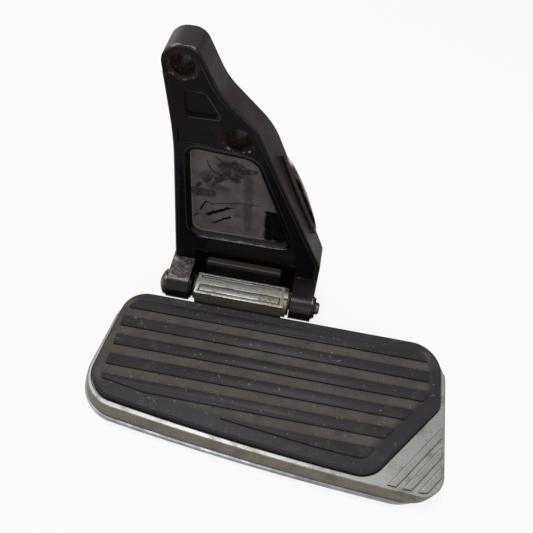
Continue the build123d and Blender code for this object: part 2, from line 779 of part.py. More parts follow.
# Countersunk screws that hold the board on the arm's foot, under the tread
with BuildPart() as arm_screws:
    for x, y in arm_screw_spots:
        with BuildSketch(front_plane(y)):
            with BuildLine():
                shank, head, top = arm_screw_d / 2, arm_screw_head / 2 - sunk_gap, pan_z - sunk_gap
                low = foot_low + screw_end_gap
                Polyline((x, top), (x + head, top), (x + shank, top - head + shank), (x + shank, low),
                         (x, low), close=True)
            make_face()
        revolve(axis=Axis((pin_x + x, pin_y + y, pin_z), (0, 0, 1)))
    with BuildSketch(level_plane(pan_z)):
        with Locations(*arm_screw_spots):
            RegularPolygon(arm_screw_key / 2, 6, major_radius=False)
    extrude(amount=-arm_screw_d / 2, mode=Mode.SUBTRACT)
finish(arm_screws, "arm_screws")

# Rubber seal between the skirt and the bottom plate
with BuildPart() as edge_seal:
    with BuildSketch(level_plane(skirt_z)):
        add(board_plan(seal_inset - skirt_flare, corner_fr_low, seal_inset))
        add(board_plan(seal_inset + seal_w - skirt_flare, corner_fr_low, seal_inset + seal_w),
            mode=Mode.SUBTRACT)
        with Locations((arm_middle, board_rear)):
            Rectangle(arm_right - arm_left + 2 * arm_gap, 4 * skirt_wall, mode=Mode.SUBTRACT)
    extrude(amount=-seal_t)
finish(edge_seal, "edge_seal")

# Bottom plate: pressed dish under the board, with its screws
with BuildPart() as bottom_plate:
    with BuildSketch(level_plane(plate_top)):
        add(board_plan(-skirt_flare - plate_lip, plate_corner))
    extrude(amount=-plate_h)
    fillet(bottom_plate.faces().sort_by(Axis.Z)[0].outer_wire().edges(), plate_fillet)
    with BuildSketch(level_plane(plate_top)):
        add(board_plan(plate_edge - skirt_flare, plate_corner, plate_edge))
    extrude(amount=plate_floor - plate_top, mode=Mode.SUBTRACT)
    with BuildSketch(level_plane(plate_low)):
        with Locations(*plate_spots):
            Circle(plate_screw_d / 2 + plate_hole_gap)
    extrude(amount=plate_t, mode=Mode.SUBTRACT)
finish(bottom_plate, "bottom_plate")

with BuildPart() as plate_screws:
    with BuildSketch(level_plane(plate_low)):
        with Locations(*plate_spots):
            Circle(plate_screw_d / 2)
    extrude(amount=plate_t + plate_screw_reach)
    with BuildSketch(level_plane(plate_low)):
        with Locations(*plate_spots):
            Circle(plate_head_d / 2)
    extrude(amount=-plate_head_h)
    fillet(plate_screws.faces().group_by(Axis.Z)[0].edges(), plate_fillet)
    with BuildSketch(level_plane(plate_low - plate_head_h)):
        with Locations(*plate_spots):
            Rectangle(plate_slot_l, plate_slot_w)
            Rectangle(plate_slot_w, plate_slot_l)
    extrude(amount=plate_head_h / 2, mode=Mode.SUBTRACT)
finish(plate_screws, "plate_screws")

# Trim on the flank: dark lens-shaped base, chrome dome and the screws that hold both
with BuildPart() as trim_base:
    with BuildSketch(trim_plane):
        add(lens(trim_half, trim_width))
    extrude(amount=trim_base_t)
    with BuildSketch(trim_plane):
        with Locations(*trim_screw_spots):
            Circle(trim_screw_d / 2 + screw_gap)
    extrude(amount=trim_base_t, mode=Mode.SUBTRACT)
finish(trim_base, "trim_base")

with BuildPart() as trim_cap:
    for angle in trim_dome_angles:
        scale, height = cos(radians(angle)), sin(radians(angle)) / sin(radians(trim_dome_angles[-1]))
        with BuildSketch(trim_plane.offset(trim_base_t + height * trim_rise)):
            with Locations((0, trim_cap_shift)):
                add(lens((trim_half - trim_cap_tip) * scale, trim_cap_width * scale))
    loft()
    with BuildSketch(trim_plane.offset(trim_base_t)):
        with Locations(*trim_screw_spots):
            Circle(trim_screw_d / 2 + screw_gap)
    extrude(amount=trim_screw_reach + screw_end_gap, mode=Mode.SUBTRACT)
finish(trim_cap, "trim_cap")

with BuildPart() as trim_screws:
    with BuildSketch(trim_plane.offset(-trim_seat_t)):
        with Locations(*trim_screw_spots):
            Circle(trim_screw_d / 2)
    extrude(amount=trim_seat_t + trim_base_t + trim_screw_reach)
    with BuildSketch(trim_plane.offset(-trim_seat_t)):
        with Locations(*trim_screw_spots):
            Circle(trim_head_d / 2)
            Rectangle(trim_head_d, trim_slot_w, mode=Mode.SUBTRACT)
    extrude(amount=-trim_head_h)
finish(trim_screws, "trim_screws")
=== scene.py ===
"""Dresses a folding motorcycle floorboard: a cast bracket, a hinge arm and a board with a rubber tread."""

from functools import reduce
from math import atan2, cos, radians, sin, tan

import bmesh
import bpy
from mathutils import Matrix, Vector


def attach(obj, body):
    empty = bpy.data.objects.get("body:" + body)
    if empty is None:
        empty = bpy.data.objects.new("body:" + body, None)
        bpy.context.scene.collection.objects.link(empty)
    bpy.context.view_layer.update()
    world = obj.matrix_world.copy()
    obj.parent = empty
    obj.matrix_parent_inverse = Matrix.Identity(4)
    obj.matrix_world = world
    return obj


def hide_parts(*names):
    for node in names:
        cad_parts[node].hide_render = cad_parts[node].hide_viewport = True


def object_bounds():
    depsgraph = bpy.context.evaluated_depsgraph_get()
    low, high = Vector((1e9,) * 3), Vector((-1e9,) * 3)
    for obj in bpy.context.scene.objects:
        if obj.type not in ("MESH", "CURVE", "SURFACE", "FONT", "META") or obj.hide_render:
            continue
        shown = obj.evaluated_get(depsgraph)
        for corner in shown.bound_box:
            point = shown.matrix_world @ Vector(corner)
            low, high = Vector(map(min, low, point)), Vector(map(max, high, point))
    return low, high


bl_info = {
    "name": "Folding Floorboard",
    "version": (1, 0, 0),
    "blender": (4, 5, 0),
    "location": "View3D > Sidebar > Floorboard",
    "description": "Dresses the parts of a folding motorcycle floorboard",
    "category": "Object",
}

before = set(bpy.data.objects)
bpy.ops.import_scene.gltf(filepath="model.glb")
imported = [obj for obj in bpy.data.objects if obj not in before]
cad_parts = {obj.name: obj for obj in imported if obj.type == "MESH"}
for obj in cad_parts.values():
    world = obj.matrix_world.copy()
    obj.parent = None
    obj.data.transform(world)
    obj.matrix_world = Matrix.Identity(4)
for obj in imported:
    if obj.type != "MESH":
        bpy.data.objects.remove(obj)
cad_box = [[float(v) for v in corner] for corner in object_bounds()]

MM = 0.001
PIN = Vector((43.9, -40.0, -194.5)) * MM      # middle of the hinge pin

# Casting, in mm from the middle of the pin, as in the solids
FACE_Y = 19.0                                 # front face
PANEL_Y = 23.5                                # floor of the sunk panel
PANEL = ((-43.6, 134.0, 8.0), (2.6, 131.4, 13.0), (35.2, 47.8, 7.0), (-44.6, 46.0, 9.0))
BOLTS = ((-43.9, 194.5), (-9.7, 146.6))       # holes, across and up
POCKET_STEPS = (134.5, 182.0)                 # heights between which the face has shallow steps

# Heights of the arm, the ears and the stop plate, mm above the middle of the pin
ARM_TOP = 12.0
EAR_TOP = 12.0
STOP_TOP = 12.0

# Board and tread outlines, in mm from the middle of the pin, as in the solids
BOARD_REAR = -13.2
REAR_LEFT_X, REAR_RIGHT_X = -90.5, 172.5
FRONT_LEFT, FRONT_RIGHT = (-101.5, -107.0), (168.3, -132.2)
FRONT_BOW = 4.3
CORNER_RL, CORNER_RR, CORNER_FL = 24.0, 28.0, 28.0
CUT_LOW_R, CUT_HIGH_R = 26.0, 18.0
RIM_W = 3.4
RIM_Z = -5.0
PAN_Z = -8.0
DIAGONAL = radians(-38.75)
DIAGONAL_REACH = 169.0
TREAD_LEAN = 2.2
TREAD_BEVEL = 2.3
TREAD_REAR_GAP = 1.0
TREAD_EDGE_OUT, TREAD_EDGE_R = 1.2, 1.8       # rounded edge: how far it starts outside the bevel, and radius
RIB_LEFT_X, RIB_REAR_Y = -85.5, -17.5
RIB_MARGIN = 8.3
RIB_CUT_MARGIN = 10.3
RIB_CORNER_R, RIB_TIP_R = 22.0, 8.0
RIB_ROUNDING = 0.4
RIB_BAR = 0.4                                 # length of a rib before it is cut, m

# Gap between the ears, in which shade is painted on the casting, mm
GAP_HALF = 42.5
GAP_TOP = 27.0
GAP_DEPTH = 5.4

# The photograph's camera: place in metres, angles in degrees
CAMERA_AT = (0.0794, -0.2872, 0.1873)
AZIMUTH, ELEVATION, ROLL = 3.8, 53.65, 7.19
SENSOR = 36.0                                 # mm
FLOOR_HALF = 4.0                              # m

# Lip and floor of the sunk panel, mm
LIP_W = 3.4
LIP_RISE = 0.9
WALL_LEAN = 0.75                              # the panel's wall leans in by this to its floor
TRAY_Y = 23.35                                # dusty floor, just in front of the solid's
TRAY_R = 0.8
TRAY_BACK = 0.4


def linear(colour):
    """A shader's colour from an sRGB hex code, or from the sRGB shares of a setting."""
    if isinstance(colour, str):
        colour = [int(colour[i:i + 2], 16) / 255 for i in (1, 3, 5)]
    return [p / 12.92 if p <= 0.04045 else ((p + 0.055) / 1.055) ** 2.4 for p in colour] + [1.0]


def node(tree, kind, inputs, out=0, **settings):
    """Adds a node, gives it its settings, sets or links its inputs and returns one of its outputs."""
    made = tree.nodes.new(kind)
    for name, value in settings.items():
        setattr(made, name, value)
    for key, value in inputs.items():
        if isinstance(value, bpy.types.NodeSocket):
            tree.links.new(value, made.inputs[key])
        else:
            made.inputs[key].default_value = value
    return made.outputs[out] if made.outputs else made


def joined(tree, how, shares):
    """Values joined one after the other by the name of an operation, held between 0 and 1."""
    return reduce(lambda first, second: node(tree, "ShaderNodeMath", {0: first, 1: second}, operation=how,
                                             use_clamp=True), shares)


def both(tree, *shares):
    """How much all of the values hold: their product."""
    return joined(tree, "MULTIPLY", shares)


def either(tree, *shares):
    """How much any of the values holds: the largest of them."""
    return joined(tree, "MAXIMUM", shares)


def eased(tree, value, start, end, low=0.0, high=1.0):
    """Turns a value from start to end into one that runs smoothly from low to high."""
    return node(tree, "ShaderNodeMapRange", {"Value": value, "From Min": start, "From Max": end,
                                             "To Min": low, "To Max": high},
                interpolation_type="SMOOTHSTEP")


def rising(tree, spread, start, end, low=0.0, high=1.0):
    """The same over the heights from start to end, in mm from the middle of the pin."""
    return eased(tree, spread[2], PIN.z + start * MM, PIN.z + end * MM, low, high)


def boxed(tree, spread, *limits):
    """Whether a place lies within limits: an axis, a lower and an upper bound in mm from the pin's middle."""
    share = 1.0
    for axis, low, high in limits:
        for how, bound in (("GREATER_THAN", low), ("LESS_THAN", high)):
            if bound is not None:
                past = node(tree, "ShaderNodeMath", {0: spread[axis], 1: PIN[axis] + bound * MM},
                            operation=how)
                share = both(tree, share, past)
    return share


def coated(tree, colour, *coats):
    """A colour under coats, each a share and a colour: hex codes, colours or sockets."""
    for share, coat in coats:
        first, second = (linear(c) if isinstance(c, str) else c for c in (colour, coat))
        colour = node(tree, "ShaderNodeMix", {0: share, 6: first, 7: second}, out=2, data_type="RGBA")
    return colour


def grains(tree, place, *kinds):
    """Noises, each with lumps of about a size in mm, a detail and a roughness."""
    return [node(tree, "ShaderNodeTexNoise", {"Vector": place, "Scale": 1 / (size * MM), "Detail": detail,
                                              "Roughness": rough}) for size, detail, rough in kinds]


def surface(name):
    """A new material, its tree, its shader, its coordinates whole and split, and its normals split."""
    made = bpy.data.materials.new(name)
    made.use_nodes = True
    tree = made.node_tree
    tree.nodes.clear()
    shader = node(tree, "ShaderNodeBsdfPrincipled", {})
    node(tree, "ShaderNodeOutputMaterial", {"Surface": shader})
    given = node(tree, "ShaderNodeTexCoord", {}).node.outputs
    spread, facing = (node(tree, "ShaderNodeSeparateXYZ", {0: given[kind]}).node.outputs
                      for kind in ("Object", "Normal"))
    return made, tree, shader.node, given["Object"], spread, facing


def finish(tree, shader, colour, rough, height, lift, radius, strength=0.5):
    """Gives the shader its colour, its roughness and its relief over edges rounded by a radius in mm."""
    soft = node(tree, "ShaderNodeBevel", {"Radius": radius * MM}, samples=6)
    relief = node(tree, "ShaderNodeBump", {"Height": height, "Strength": strength, "Distance": lift * MM,
                                           "Normal": soft})
    tree.links.new(colour, shader.inputs["Base Color"])
    tree.links.new(rough, shader.inputs["Roughness"])
    tree.links.new(relief, shader.inputs["Normal"])
    return soft


def on_edges(tree, soft, start, end):
    """How much a place lies on an edge: where the rounded normal turns away from the flat one."""
    flat = node(tree, "ShaderNodeNewGeometry", {}, out="Normal")
    turn = node(tree, "ShaderNodeVectorMath", {0: soft, 1: flat}, out="Value", operation="DOT_PRODUCT")
    return eased(tree, turn, start, end)


def at_mm(x, y, z):
    """A place given in mm from the middle of the pin, in metres in the part's frame."""
    return PIN + Vector((x, y, z)) * MM


def stroke_group():
    """A node group: how much a place lies on a soft-edged stroke that tapers between two points."""
    group = bpy.data.node_groups.new("stroke", "ShaderNodeTree")
    face = group.interface
    for kind, names in (("NodeSocketVector", ("Place", "Start", "End")),
                        ("NodeSocketFloat", ("Start Width", "End Width"))):
        for name in names:
            face.new_socket(name, in_out="INPUT", socket_type=kind)
    face.new_socket("Mask", in_out="OUTPUT", socket_type="NodeSocketFloat")
    given = node(group, "NodeGroupInput", {}).node.outputs
    off, run = (node(group, "ShaderNodeVectorMath", {0: given[name], 1: given["Start"]},
                     operation="SUBTRACT") for name in ("Place", "End"))
    along, whole = (node(group, "ShaderNodeVectorMath", {0: vector, 1: run}, out="Value",
                         operation="DOT_PRODUCT") for vector in (off, run))
    share = node(group, "ShaderNodeMath", {0: along, 1: whole}, operation="DIVIDE", use_clamp=True)
    reached = node(group, "ShaderNodeVectorMath", {0: run, "Scale": share}, operation="SCALE")
    gap = node(group, "ShaderNodeVectorMath", {0: off, 1: reached}, out="Value", operation="DISTANCE")
    width = node(group, "ShaderNodeMapRange", {"Value": share, "To Min": given["Start Width"],
                                               "To Max": given["End Width"]})
    inner = node(group, "ShaderNodeMath", {0: width, 1: 0.5}, operation="MULTIPLY")
    node(group, "NodeGroupOutput", {0: eased(group, gap, width, inner)})
    return group


def strokes(tree, group, place, spot, marks):
    """How much a place lies on any of the strokes, whose ends a function puts on their surface."""
    total = 0.0
    for x1, z1, x2, z2, start, end in marks:
        mask = node(tree, "ShaderNodeGroup", {"Place": place, "Start": spot(x1, z1), "End": spot(x2, z2),
                                              "Start Width": start * MM, "End Width": end * MM},
                    node_tree=group)
        total = either(tree, total, mask)
    return total


# Marks on the casting: two ends across and up from the pin, and half width at each, mm.
# Places where the dust on the panel has been rubbed thin
RUBBED = (
    (-39.6, 88.5, -28.6, 89.5, 6.0, 5.0), (-41.6, 91.0, -36.6, 98.0, 2.4, 2.0),
    (-32.6, 101.5, -29.1, 107.0, 3.4, 2.6), (-28.6, 96.0, -24.1, 104.5, 2.3, 2.8),
    (-24.1, 104.5, -15.6, 111.5, 4.0, 6.0), (-18.6, 117.5, -8.6, 113.0, 7.5, 6.0),
    (-16.6, 111.0, -10.6, 107.0, 5.0, 4.0), (-8.1, 115.5, 1.4, 117.0, 4.6, 3.2),
    (-12.6, 122.0, -6.6, 119.0, 4.0, 3.0),
)
FAINT = ((-2.6, 114.0, -0.6, 58.0, 4.4, 4.0), (-1.9, 92.0, -0.9, 74.0, 4.2, 3.8),
         (-22.6, 110.0, -34.6, 106.0, 7.0, 5.0), (-28.6, 98.0, -16.6, 96.0, 5.0, 3.0))
# Places where it has been wiped off down to the paint
WIPED = (
    (-31.6, 66.0, -16.1, 76.8, 2.3, 1.7), (-16.1, 76.8, -11.6, 77.6, 1.3, 0.3),
    (-28.2, 56.8, -15.0, 66.6, 1.0, 1.5), (-42.0, 61.8, -39.8, 64.8, 1.0, 0.8),
    (-11.0, 68.9, -7.8, 70.0, 0.8, 0.5), (14.4, 74.0, 16.4, 51.0, 4.2, 5.0),
    (20.0, 76.5, 24.5, 53.0, 6.0, 9.0), (24.5, 68.0, 30.0, 54.0, 5.2, 6.0),
    (13.0, 79.0, 17.0, 78.0, 2.6, 3.4),
)
SCRATCHED = (
    (-37.2, 70.4, -33.0, 80.4, 1.0, 0.7), (-33.0, 80.4, -28.1, 78.4, 0.6, 0.6),
    (-28.1, 78.4, -8.4, 83.7, 0.5, 0.5), (-8.4, 83.7, 7.4, 84.6, 0.5, 0.35),
    (-30.6, 116.4, -26.4, 110.7, 0.5, 0.55), (-26.4, 110.7, -19.6, 108.3, 0.55, 0.7),
    (-25.6, 126.0, -20.4, 120.9, 0.6, 0.6), (-20.4, 120.9, -18.0, 117.8, 0.55, 0.4),
    (-31.6, 121.0, -28.6, 113.0, 0.4, 0.3), (0.4, 81.0, 2.4, 87.0, 0.35, 0.3),
)
# Paint chipped to bare metal along the lip's lower edge and down its left one
CHIPPED = (
    (-42.5, 43.4, -28.0, 43.8, 1.5, 2.1), (-28.0, 43.8, 0.0, 44.4, 2.1, 2.4),
    (0.0, 44.4, 20.0, 44.9, 2.4, 1.8), (20.0, 44.9, 37.0, 46.5, 1.5, 2.1),
    (37.4, 47.0, 39.6, 51.0, 1.4, 0.8), (-47.6, 124.0, -47.9, 112.0, 0.7, 0.5),
    (-48.2, 92.0, -48.5, 76.0, 0.5, 0.5), (-48.7, 58.0, -46.5, 46.0, 0.8, 1.4),
)
# The same on top of the ears, their ends given across and towards the motorcycle
EAR_CHIPS = (
    (-58.0, 17.0, -53.0, 14.0, 2.2, 1.6), (-52.0, 6.0, -46.5, 9.0, 0.7, 0.6),
    (-60.0, -0.6, -54.0, -1.0, 1.0, 1.0), (59.6, 0.5, 59.6, -4.0, 1.0, 1.2),
    (45.0, 18.0, 47.0, 18.2, 0.7, 0.6),
)
# Dusty smudge on the face beside the lower bolt
SMUDGED = ((-25.0, 153.0, -19.0, 141.0, 4.5, 3.5),)
# Painted highlight along the crown's front edge
BROW_HIGHLIGHT = (
    (-52.0, 200.4, -50.0, 204.4, 0.5, 0.9), (-50.0, 204.4, -47.2, 207.2, 0.9, 1.2),
    (-47.2, 207.2, -43.3, 208.6, 1.2, 1.2), (-43.3, 208.6, -39.4, 208.4, 1.0, 0.8),
    (-39.4, 208.4, -36.2, 206.4, 0.8, 0.7),
)
# A paler line along the right and lower edge of the small pocket between the bolts
POCKET_EDGE = (
    (-30.0, 177.0, -21.6, 162.5, 0.45, 0.5), (-21.6, 162.5, -22.6, 159.6, 0.5, 0.45),
    (-22.6, 159.6, -42.0, 158.4, 0.45, 0.3), (-41.5, 177.8, -31.5, 178.0, 0.3, 0.4),
)


def at_depth(y):
    """Puts places across and up from the pin on a wall of the casting."""
    return lambda x, z: at_mm(x, y, z)


def on_ears(x, y):
    """A place on top of the ears."""
    return at_mm(x, y, EAR_TOP)


def polished_above(tree, shader, facing, film):
    """Paint dulled by old oil on its front and by the dust film, and rubbed glossy where it looks up."""
    gloss = eased(tree, facing[2], 0.05, 0.6, 0.05, 0.4)
    gloss = both(tree, gloss, eased(tree, film, 0.0, 1.0, 1.0, 0.2))
    tree.links.new(gloss, shader.inputs["Specular IOR Level"])


def shaken(tree, place, size, reach):
    """Coordinates shaken by noise, so that marks get ragged edges; size and reach in mm."""
    noise = grains(tree, place, (size, 4.0, 0.6))[0].node.outputs["Color"]
    shake = node(tree, "ShaderNodeVectorMath", {0: noise, 1: (0.5, 0.5, 0.5)}, operation="SUBTRACT")
    shake = node(tree, "ShaderNodeVectorMath", {0: shake, "Scale": reach * MM}, operation="SCALE")
    return node(tree, "ShaderNodeVectorMath", {0: place, 1: shake}, operation="ADD")


def chips(tree, colour, share, flakes, sand):
    """Paint rubbed grey, and gone down to bright metal in flakes."""
    bare = both(tree, share, eased(tree, flakes, 0.5, 0.6))
    return coated(tree, colour, (both(tree, share, 0.75), "#77747a"),
                  (bare, coated(tree, "#77747a", (sand, "#c4c3c4"))))


def painted_lip():
    """The same enamel on the panel's rounded lip, rubbed and chipped along its lower edge."""
    made, tree, shader, place, _, facing = surface("chipped_black_enamel_lip")
    flakes, sand = grains(tree, place, (1.8, 6.0, 0.7), (1.1, 3.0, 0.6))
    film = eased(tree, facing[2], 0.2, 0.8, 0.0, 0.8)
    colour = coated(tree, "#0b0a0c", (film, "#3a3537"))
    chipped = strokes(tree, stroke_group(), shaken(tree, place, 5.0, 2.4),
                      at_depth(FACE_Y - LIP_RISE), CHIPPED)
    colour = chips(tree, colour, chipped, flakes, sand)
    finish(tree, shader, colour, eased(tree, either(tree, film, chipped), 0.0, 1.0, 0.16, 0.42), sand,
           0.1, 0.4, 0.3)
    polished_above(tree, shader, facing, film)
    return made


def dusty_panel(settings):
    """An even coat of brown-grey dust on the sunk panel, rubbed thin, scratched and wiped off in places."""
    made, tree, shader, place, _, facing = surface("dusty_enamel_panel")
    loose = shaken(tree, place, 5.0, 3.6)
    broad, rags, sand = grains(tree, place, (18.0, 6.0, 0.65), (4.0, 4.0, 0.6), (0.9, 3.0, 0.6))
    uneven = eased(tree, broad, 0.3, 0.7)
    ragged = eased(tree, rags, 0.3, 0.6, 0.45, 1.0)
    group, spot = stroke_group(), at_depth(PANEL_Y)
    bare = either(tree, both(tree, strokes(tree, group, loose, spot, RUBBED), ragged, 0.75),
                  both(tree, strokes(tree, group, loose, spot, FAINT), 0.35),
                  strokes(tree, group, loose, spot, WIPED),
                  strokes(tree, group, place, spot, SCRATCHED))
    # the dust is thicker in the rounded corner along the panel's edge
    thick = eased(tree, facing[1], -0.98, -0.8)
    colour = coated(tree, "#524b4b", (uneven, linear(settings.panel_colour)), (thick, "#7a6d63"),
                    (bare, "#0b0a0c"))
    finish(tree, shader, colour, eased(tree, bare, 0.0, 1.0, 0.5, 0.16), sand, 0.1, 0.4, 0.25)
    shader.inputs["Specular IOR Level"].default_value = 0.06
    return made


def painted_casting(settings):
    """Black enamel over a sand casting: glossy where wiped, a brown-violet dust film where dirt settles, with
    painted highlight, reflection and shade.
    """
    made, tree, shader, place, spread, facing = surface("dusty_black_enamel_casting")
    # dirt in patches of some 20 mm, chips of a few mm and a sandy skin of about 1 mm
    patches, flakes, sand = grains(tree, place, (22.0, 5.0, 0.6), (2.6, 6.0, 0.7), (1.1, 3.0, 0.6))
    uneven = eased(tree, patches, 0.3, 0.7, 0.72, 1.0)
    loose = shaken(tree, place, 5.0, 3.6)
    group, on_face = stroke_group(), at_depth(FACE_Y)
    chipped = strokes(tree, group, loose, on_ears, EAR_CHIPS)
    smudge = strokes(tree, group, loose, on_face, SMUDGED)
    # film: thick down the flank, thin on the crown and the ears, none on the face; on what faces left it is
    # painted reflection
    flank = either(tree, eased(tree, facing[0], 0.3, 0.7), eased(tree, facing[0], -0.3, -0.8))
    upper = eased(tree, facing[2], 0.4, 0.85, 0.0, settings.crown)
    film = either(tree, both(tree, either(tree, flank, upper), uneven), both(tree, smudge, 0.6))
    film = both(tree, film, settings.film)
    # painted reflection: paler on what turns to the left
    edge = both(tree, eased(tree, facing[0], -0.15, -0.5), 0.45)
    # dust on top of the left ear
    ear = boxed(tree, spread, (0, None, 0.0), (1, None, FACE_Y + 2.0), (2, None, EAR_TOP + 2.0))
    ear = both(tree, ear, eased(tree, facing[2], 0.93, 0.99), uneven,
               eased(tree, flakes, 0.42, 0.6, 0.2, 0.9))
    # rust and old dirt in the bolt holes, with scalloped rings left by washers
    flat = node(tree, "ShaderNodeVectorMath", {0: loose, 1: (1.0, 0.0, 1.0)}, operation="MULTIPLY")
    rust = 0.0
    for (x, z), reach, ring, bright in zip(BOLTS, (11.2, 9.4), (9.6, 10.6), (0.25, 0.6)):
        centre = on_face(x, z)
        gap = node(tree, "ShaderNodeVectorMath", {0: flat, 1: (centre.x, 0.0, centre.z)}, out="Value",
                   operation="DISTANCE")
        rust = either(tree, rust, eased(tree, gap, reach * MM, (reach - 1.5) * MM, 0.0, 0.8))
        off = node(tree, "ShaderNodeMath", {0: gap, 1: ring * MM}, operation="SUBTRACT")
        off = node(tree, "ShaderNodeMath", {0: off}, operation="ABSOLUTE")
        rim = both(tree, eased(tree, off, 1.1 * MM, 0.3 * MM), eased(tree, flakes, 0.5, 0.6))
        below = eased(tree, spread[2], centre.z - 0.002, centre.z - 0.007)
        chipped = either(tree, chipped, both(tree, rim, below, bright))
    rust = both(tree, rust, eased(tree, sand, 0.3, 0.6))
    outline = both(tree, strokes(tree, group, place, on_face, POCKET_EDGE), 0.7)
    # painted highlight along the crown's front edge
    brow_highlight = both(tree, strokes(tree, group, place, on_face, BROW_HIGHLIGHT), 0.6)
    # painted shade: near-black in the recess between the ears
    gap_shade = boxed(tree, spread, (0, -GAP_HALF, GAP_HALF), (1, FACE_Y + 0.2, FACE_Y + GAP_DEPTH),
                    (2, None, GAP_TOP))
    colour = coated(tree, "#131014", (film, linear(settings.film_colour)), (edge, "#4d4446"),
                    (ear, "#7a736d"), (rust, "#35281f"), (outline, "#4b4546"), (brow_highlight, "#968f94"),
                    (gap_shade, "#060505"))
    rough = either(tree, eased(tree, either(tree, film, rust), 0.0, 1.0, 0.14, 0.46), gap_shade)
    soft = finish(tree, shader, colour, rough, sand, 0.15, 0.9, 0.3)
    # paint gone from edges and from the chipped places, but not from the shallow steps of the pocket
    stepped = boxed(tree, spread, (2, *POCKET_STEPS))
    elsewhere = node(tree, "ShaderNodeMath", {0: 1.0, 1: stepped}, operation="SUBTRACT")
    worn = both(tree, on_edges(tree, soft, 0.99, 0.93), eased(tree, flakes, 0.6, 0.68, 0.0, settings.wear),
                elsewhere)
    colour = chips(tree, colour, either(tree, worn, chipped), flakes, sand)
    tree.links.new(colour, shader.inputs["Base Color"])
    polished_above(tree, shader, facing, film)
    return made


def mottled_metal(name, base, dark, rough, size, lift, metallic=1.0):
    """Bare or plated metal: two tones in mottles of a size in mm, and a relief in mm."""
    made, tree, shader, place, *_ = surface(name)
    mottle = grains(tree, place, (size, 6.0, 0.65))[0]
    colour = coated(tree, dark, (eased(tree, mottle, 0.35, 0.65), base))
    finish(tree, shader, colour, eased(tree, mottle, 0.3, 0.7, rough + 0.12, rough - 0.05), mottle, lift, 0.4)
    shader.inputs["Metallic"].default_value = metallic
    return made


def pitted_aluminium():
    """Cast aluminium gone grey: bright skin, dark half-millimetre pits, grime in its grooves, and darker and
    browner on its front.
    """
    made, tree, shader, place, spread, facing = surface("pitted_cast_aluminium")
    streak = node(tree, "ShaderNodeVectorMath", {0: place, 1: (0.35, 1.0, 1.0)}, operation="MULTIPLY")
    broad, fine = grains(tree, streak, (9.0, 5.0, 0.6), (0.8, 4.0, 0.7))
    stain = eased(tree, broad, 0.45, 0.62)
    pits = both(tree, eased(tree, fine, 0.47, 0.37), eased(tree, broad, 0.4, 0.6, 0.35, 1.0))
    level = eased(tree, facing[2], 0.8, 0.97)
    sunk = both(tree, level, rising(tree, spread, ARM_TOP - 0.35, ARM_TOP - 0.5),
                boxed(tree, spread, (2, ARM_TOP - 1.2, None)))
    front = eased(tree, facing[1], -0.5, -0.9)
    colour = coated(tree, "#c6c8c4", (stain, "#a39e8e"), (pits, "#37322b"),
                    (both(tree, sunk, 0.9), "#1d1a17"), (front, "#6b6257"))
    rough = eased(tree, either(tree, stain, front, sunk), 0.0, 1.0, 0.34, 0.6)
    finish(tree, shader, colour, rough, fine, 0.2, 0.5)
    shader.inputs["Metallic"].default_value = 0.85
    return made


def chrome_painted_reflections(top, low):
    """Chrome with painted reflections: dark, streaked brown along the trim, with painted highlights at both
    its ends, whose heights are given.
    """
    made, tree, shader, place, spread, _ = surface("chrome_plating_painted_reflections")
    drawn = node(tree, "ShaderNodeVectorMath", {0: place, 1: (0.12, 1.0, 0.12)}, operation="MULTIPLY")
    streak = grains(tree, drawn, (1.1, 3.0, 0.6))[0]
    # painted highlights at both ends of the trim
    tip_highlights = either(tree, eased(tree, spread[2], top - 0.011, top - 0.004),
                  eased(tree, spread[2], low + 0.012, low + 0.004))
    colour = coated(tree, "#2b2322", (eased(tree, streak, 0.42, 0.58), "#6a5c54"), (tip_highlights, "#d3d3d2"))
    finish(tree, shader, colour, eased(tree, streak, 0.3, 0.7, 0.12, 0.24), streak, 0.02, 0.3)
    shader.inputs["Metallic"].default_value = 1.0
    return made


def steel_painted_light_and_shade():
    """Bare steel edge: grey-brown and rubbed on top, with a painted highlight on what faces up, and painted
    shade, nearly black, below.
    """
    made, tree, shader, place, spread, facing = surface("bare_steel_painted_light_and_shade")
    mottle = grains(tree, place, (1.6, 6.0, 0.7))[0]
    upper = rising(tree, spread, STOP_TOP - 5.0, STOP_TOP - 3.6)
    rubbed = both(tree, upper, eased(tree, mottle, 0.3, 0.6, 0.5, 1.0))
    # painted highlight on what faces up; below the top band the steel gets painted shade
    steel_lit_from_above = coated(tree, "#4a423d", (eased(tree, facing[2], 0.3, 0.9), "#6f665e"))
    colour = coated(tree, "#060505", (rubbed, steel_lit_from_above))
    finish(tree, shader, colour, eased(tree, rubbed, 0.0, 1.0, 0.75, 0.5), mottle, 0.1, 0.4)
    shader.inputs["Metallic"].default_value = 0.4
    return made


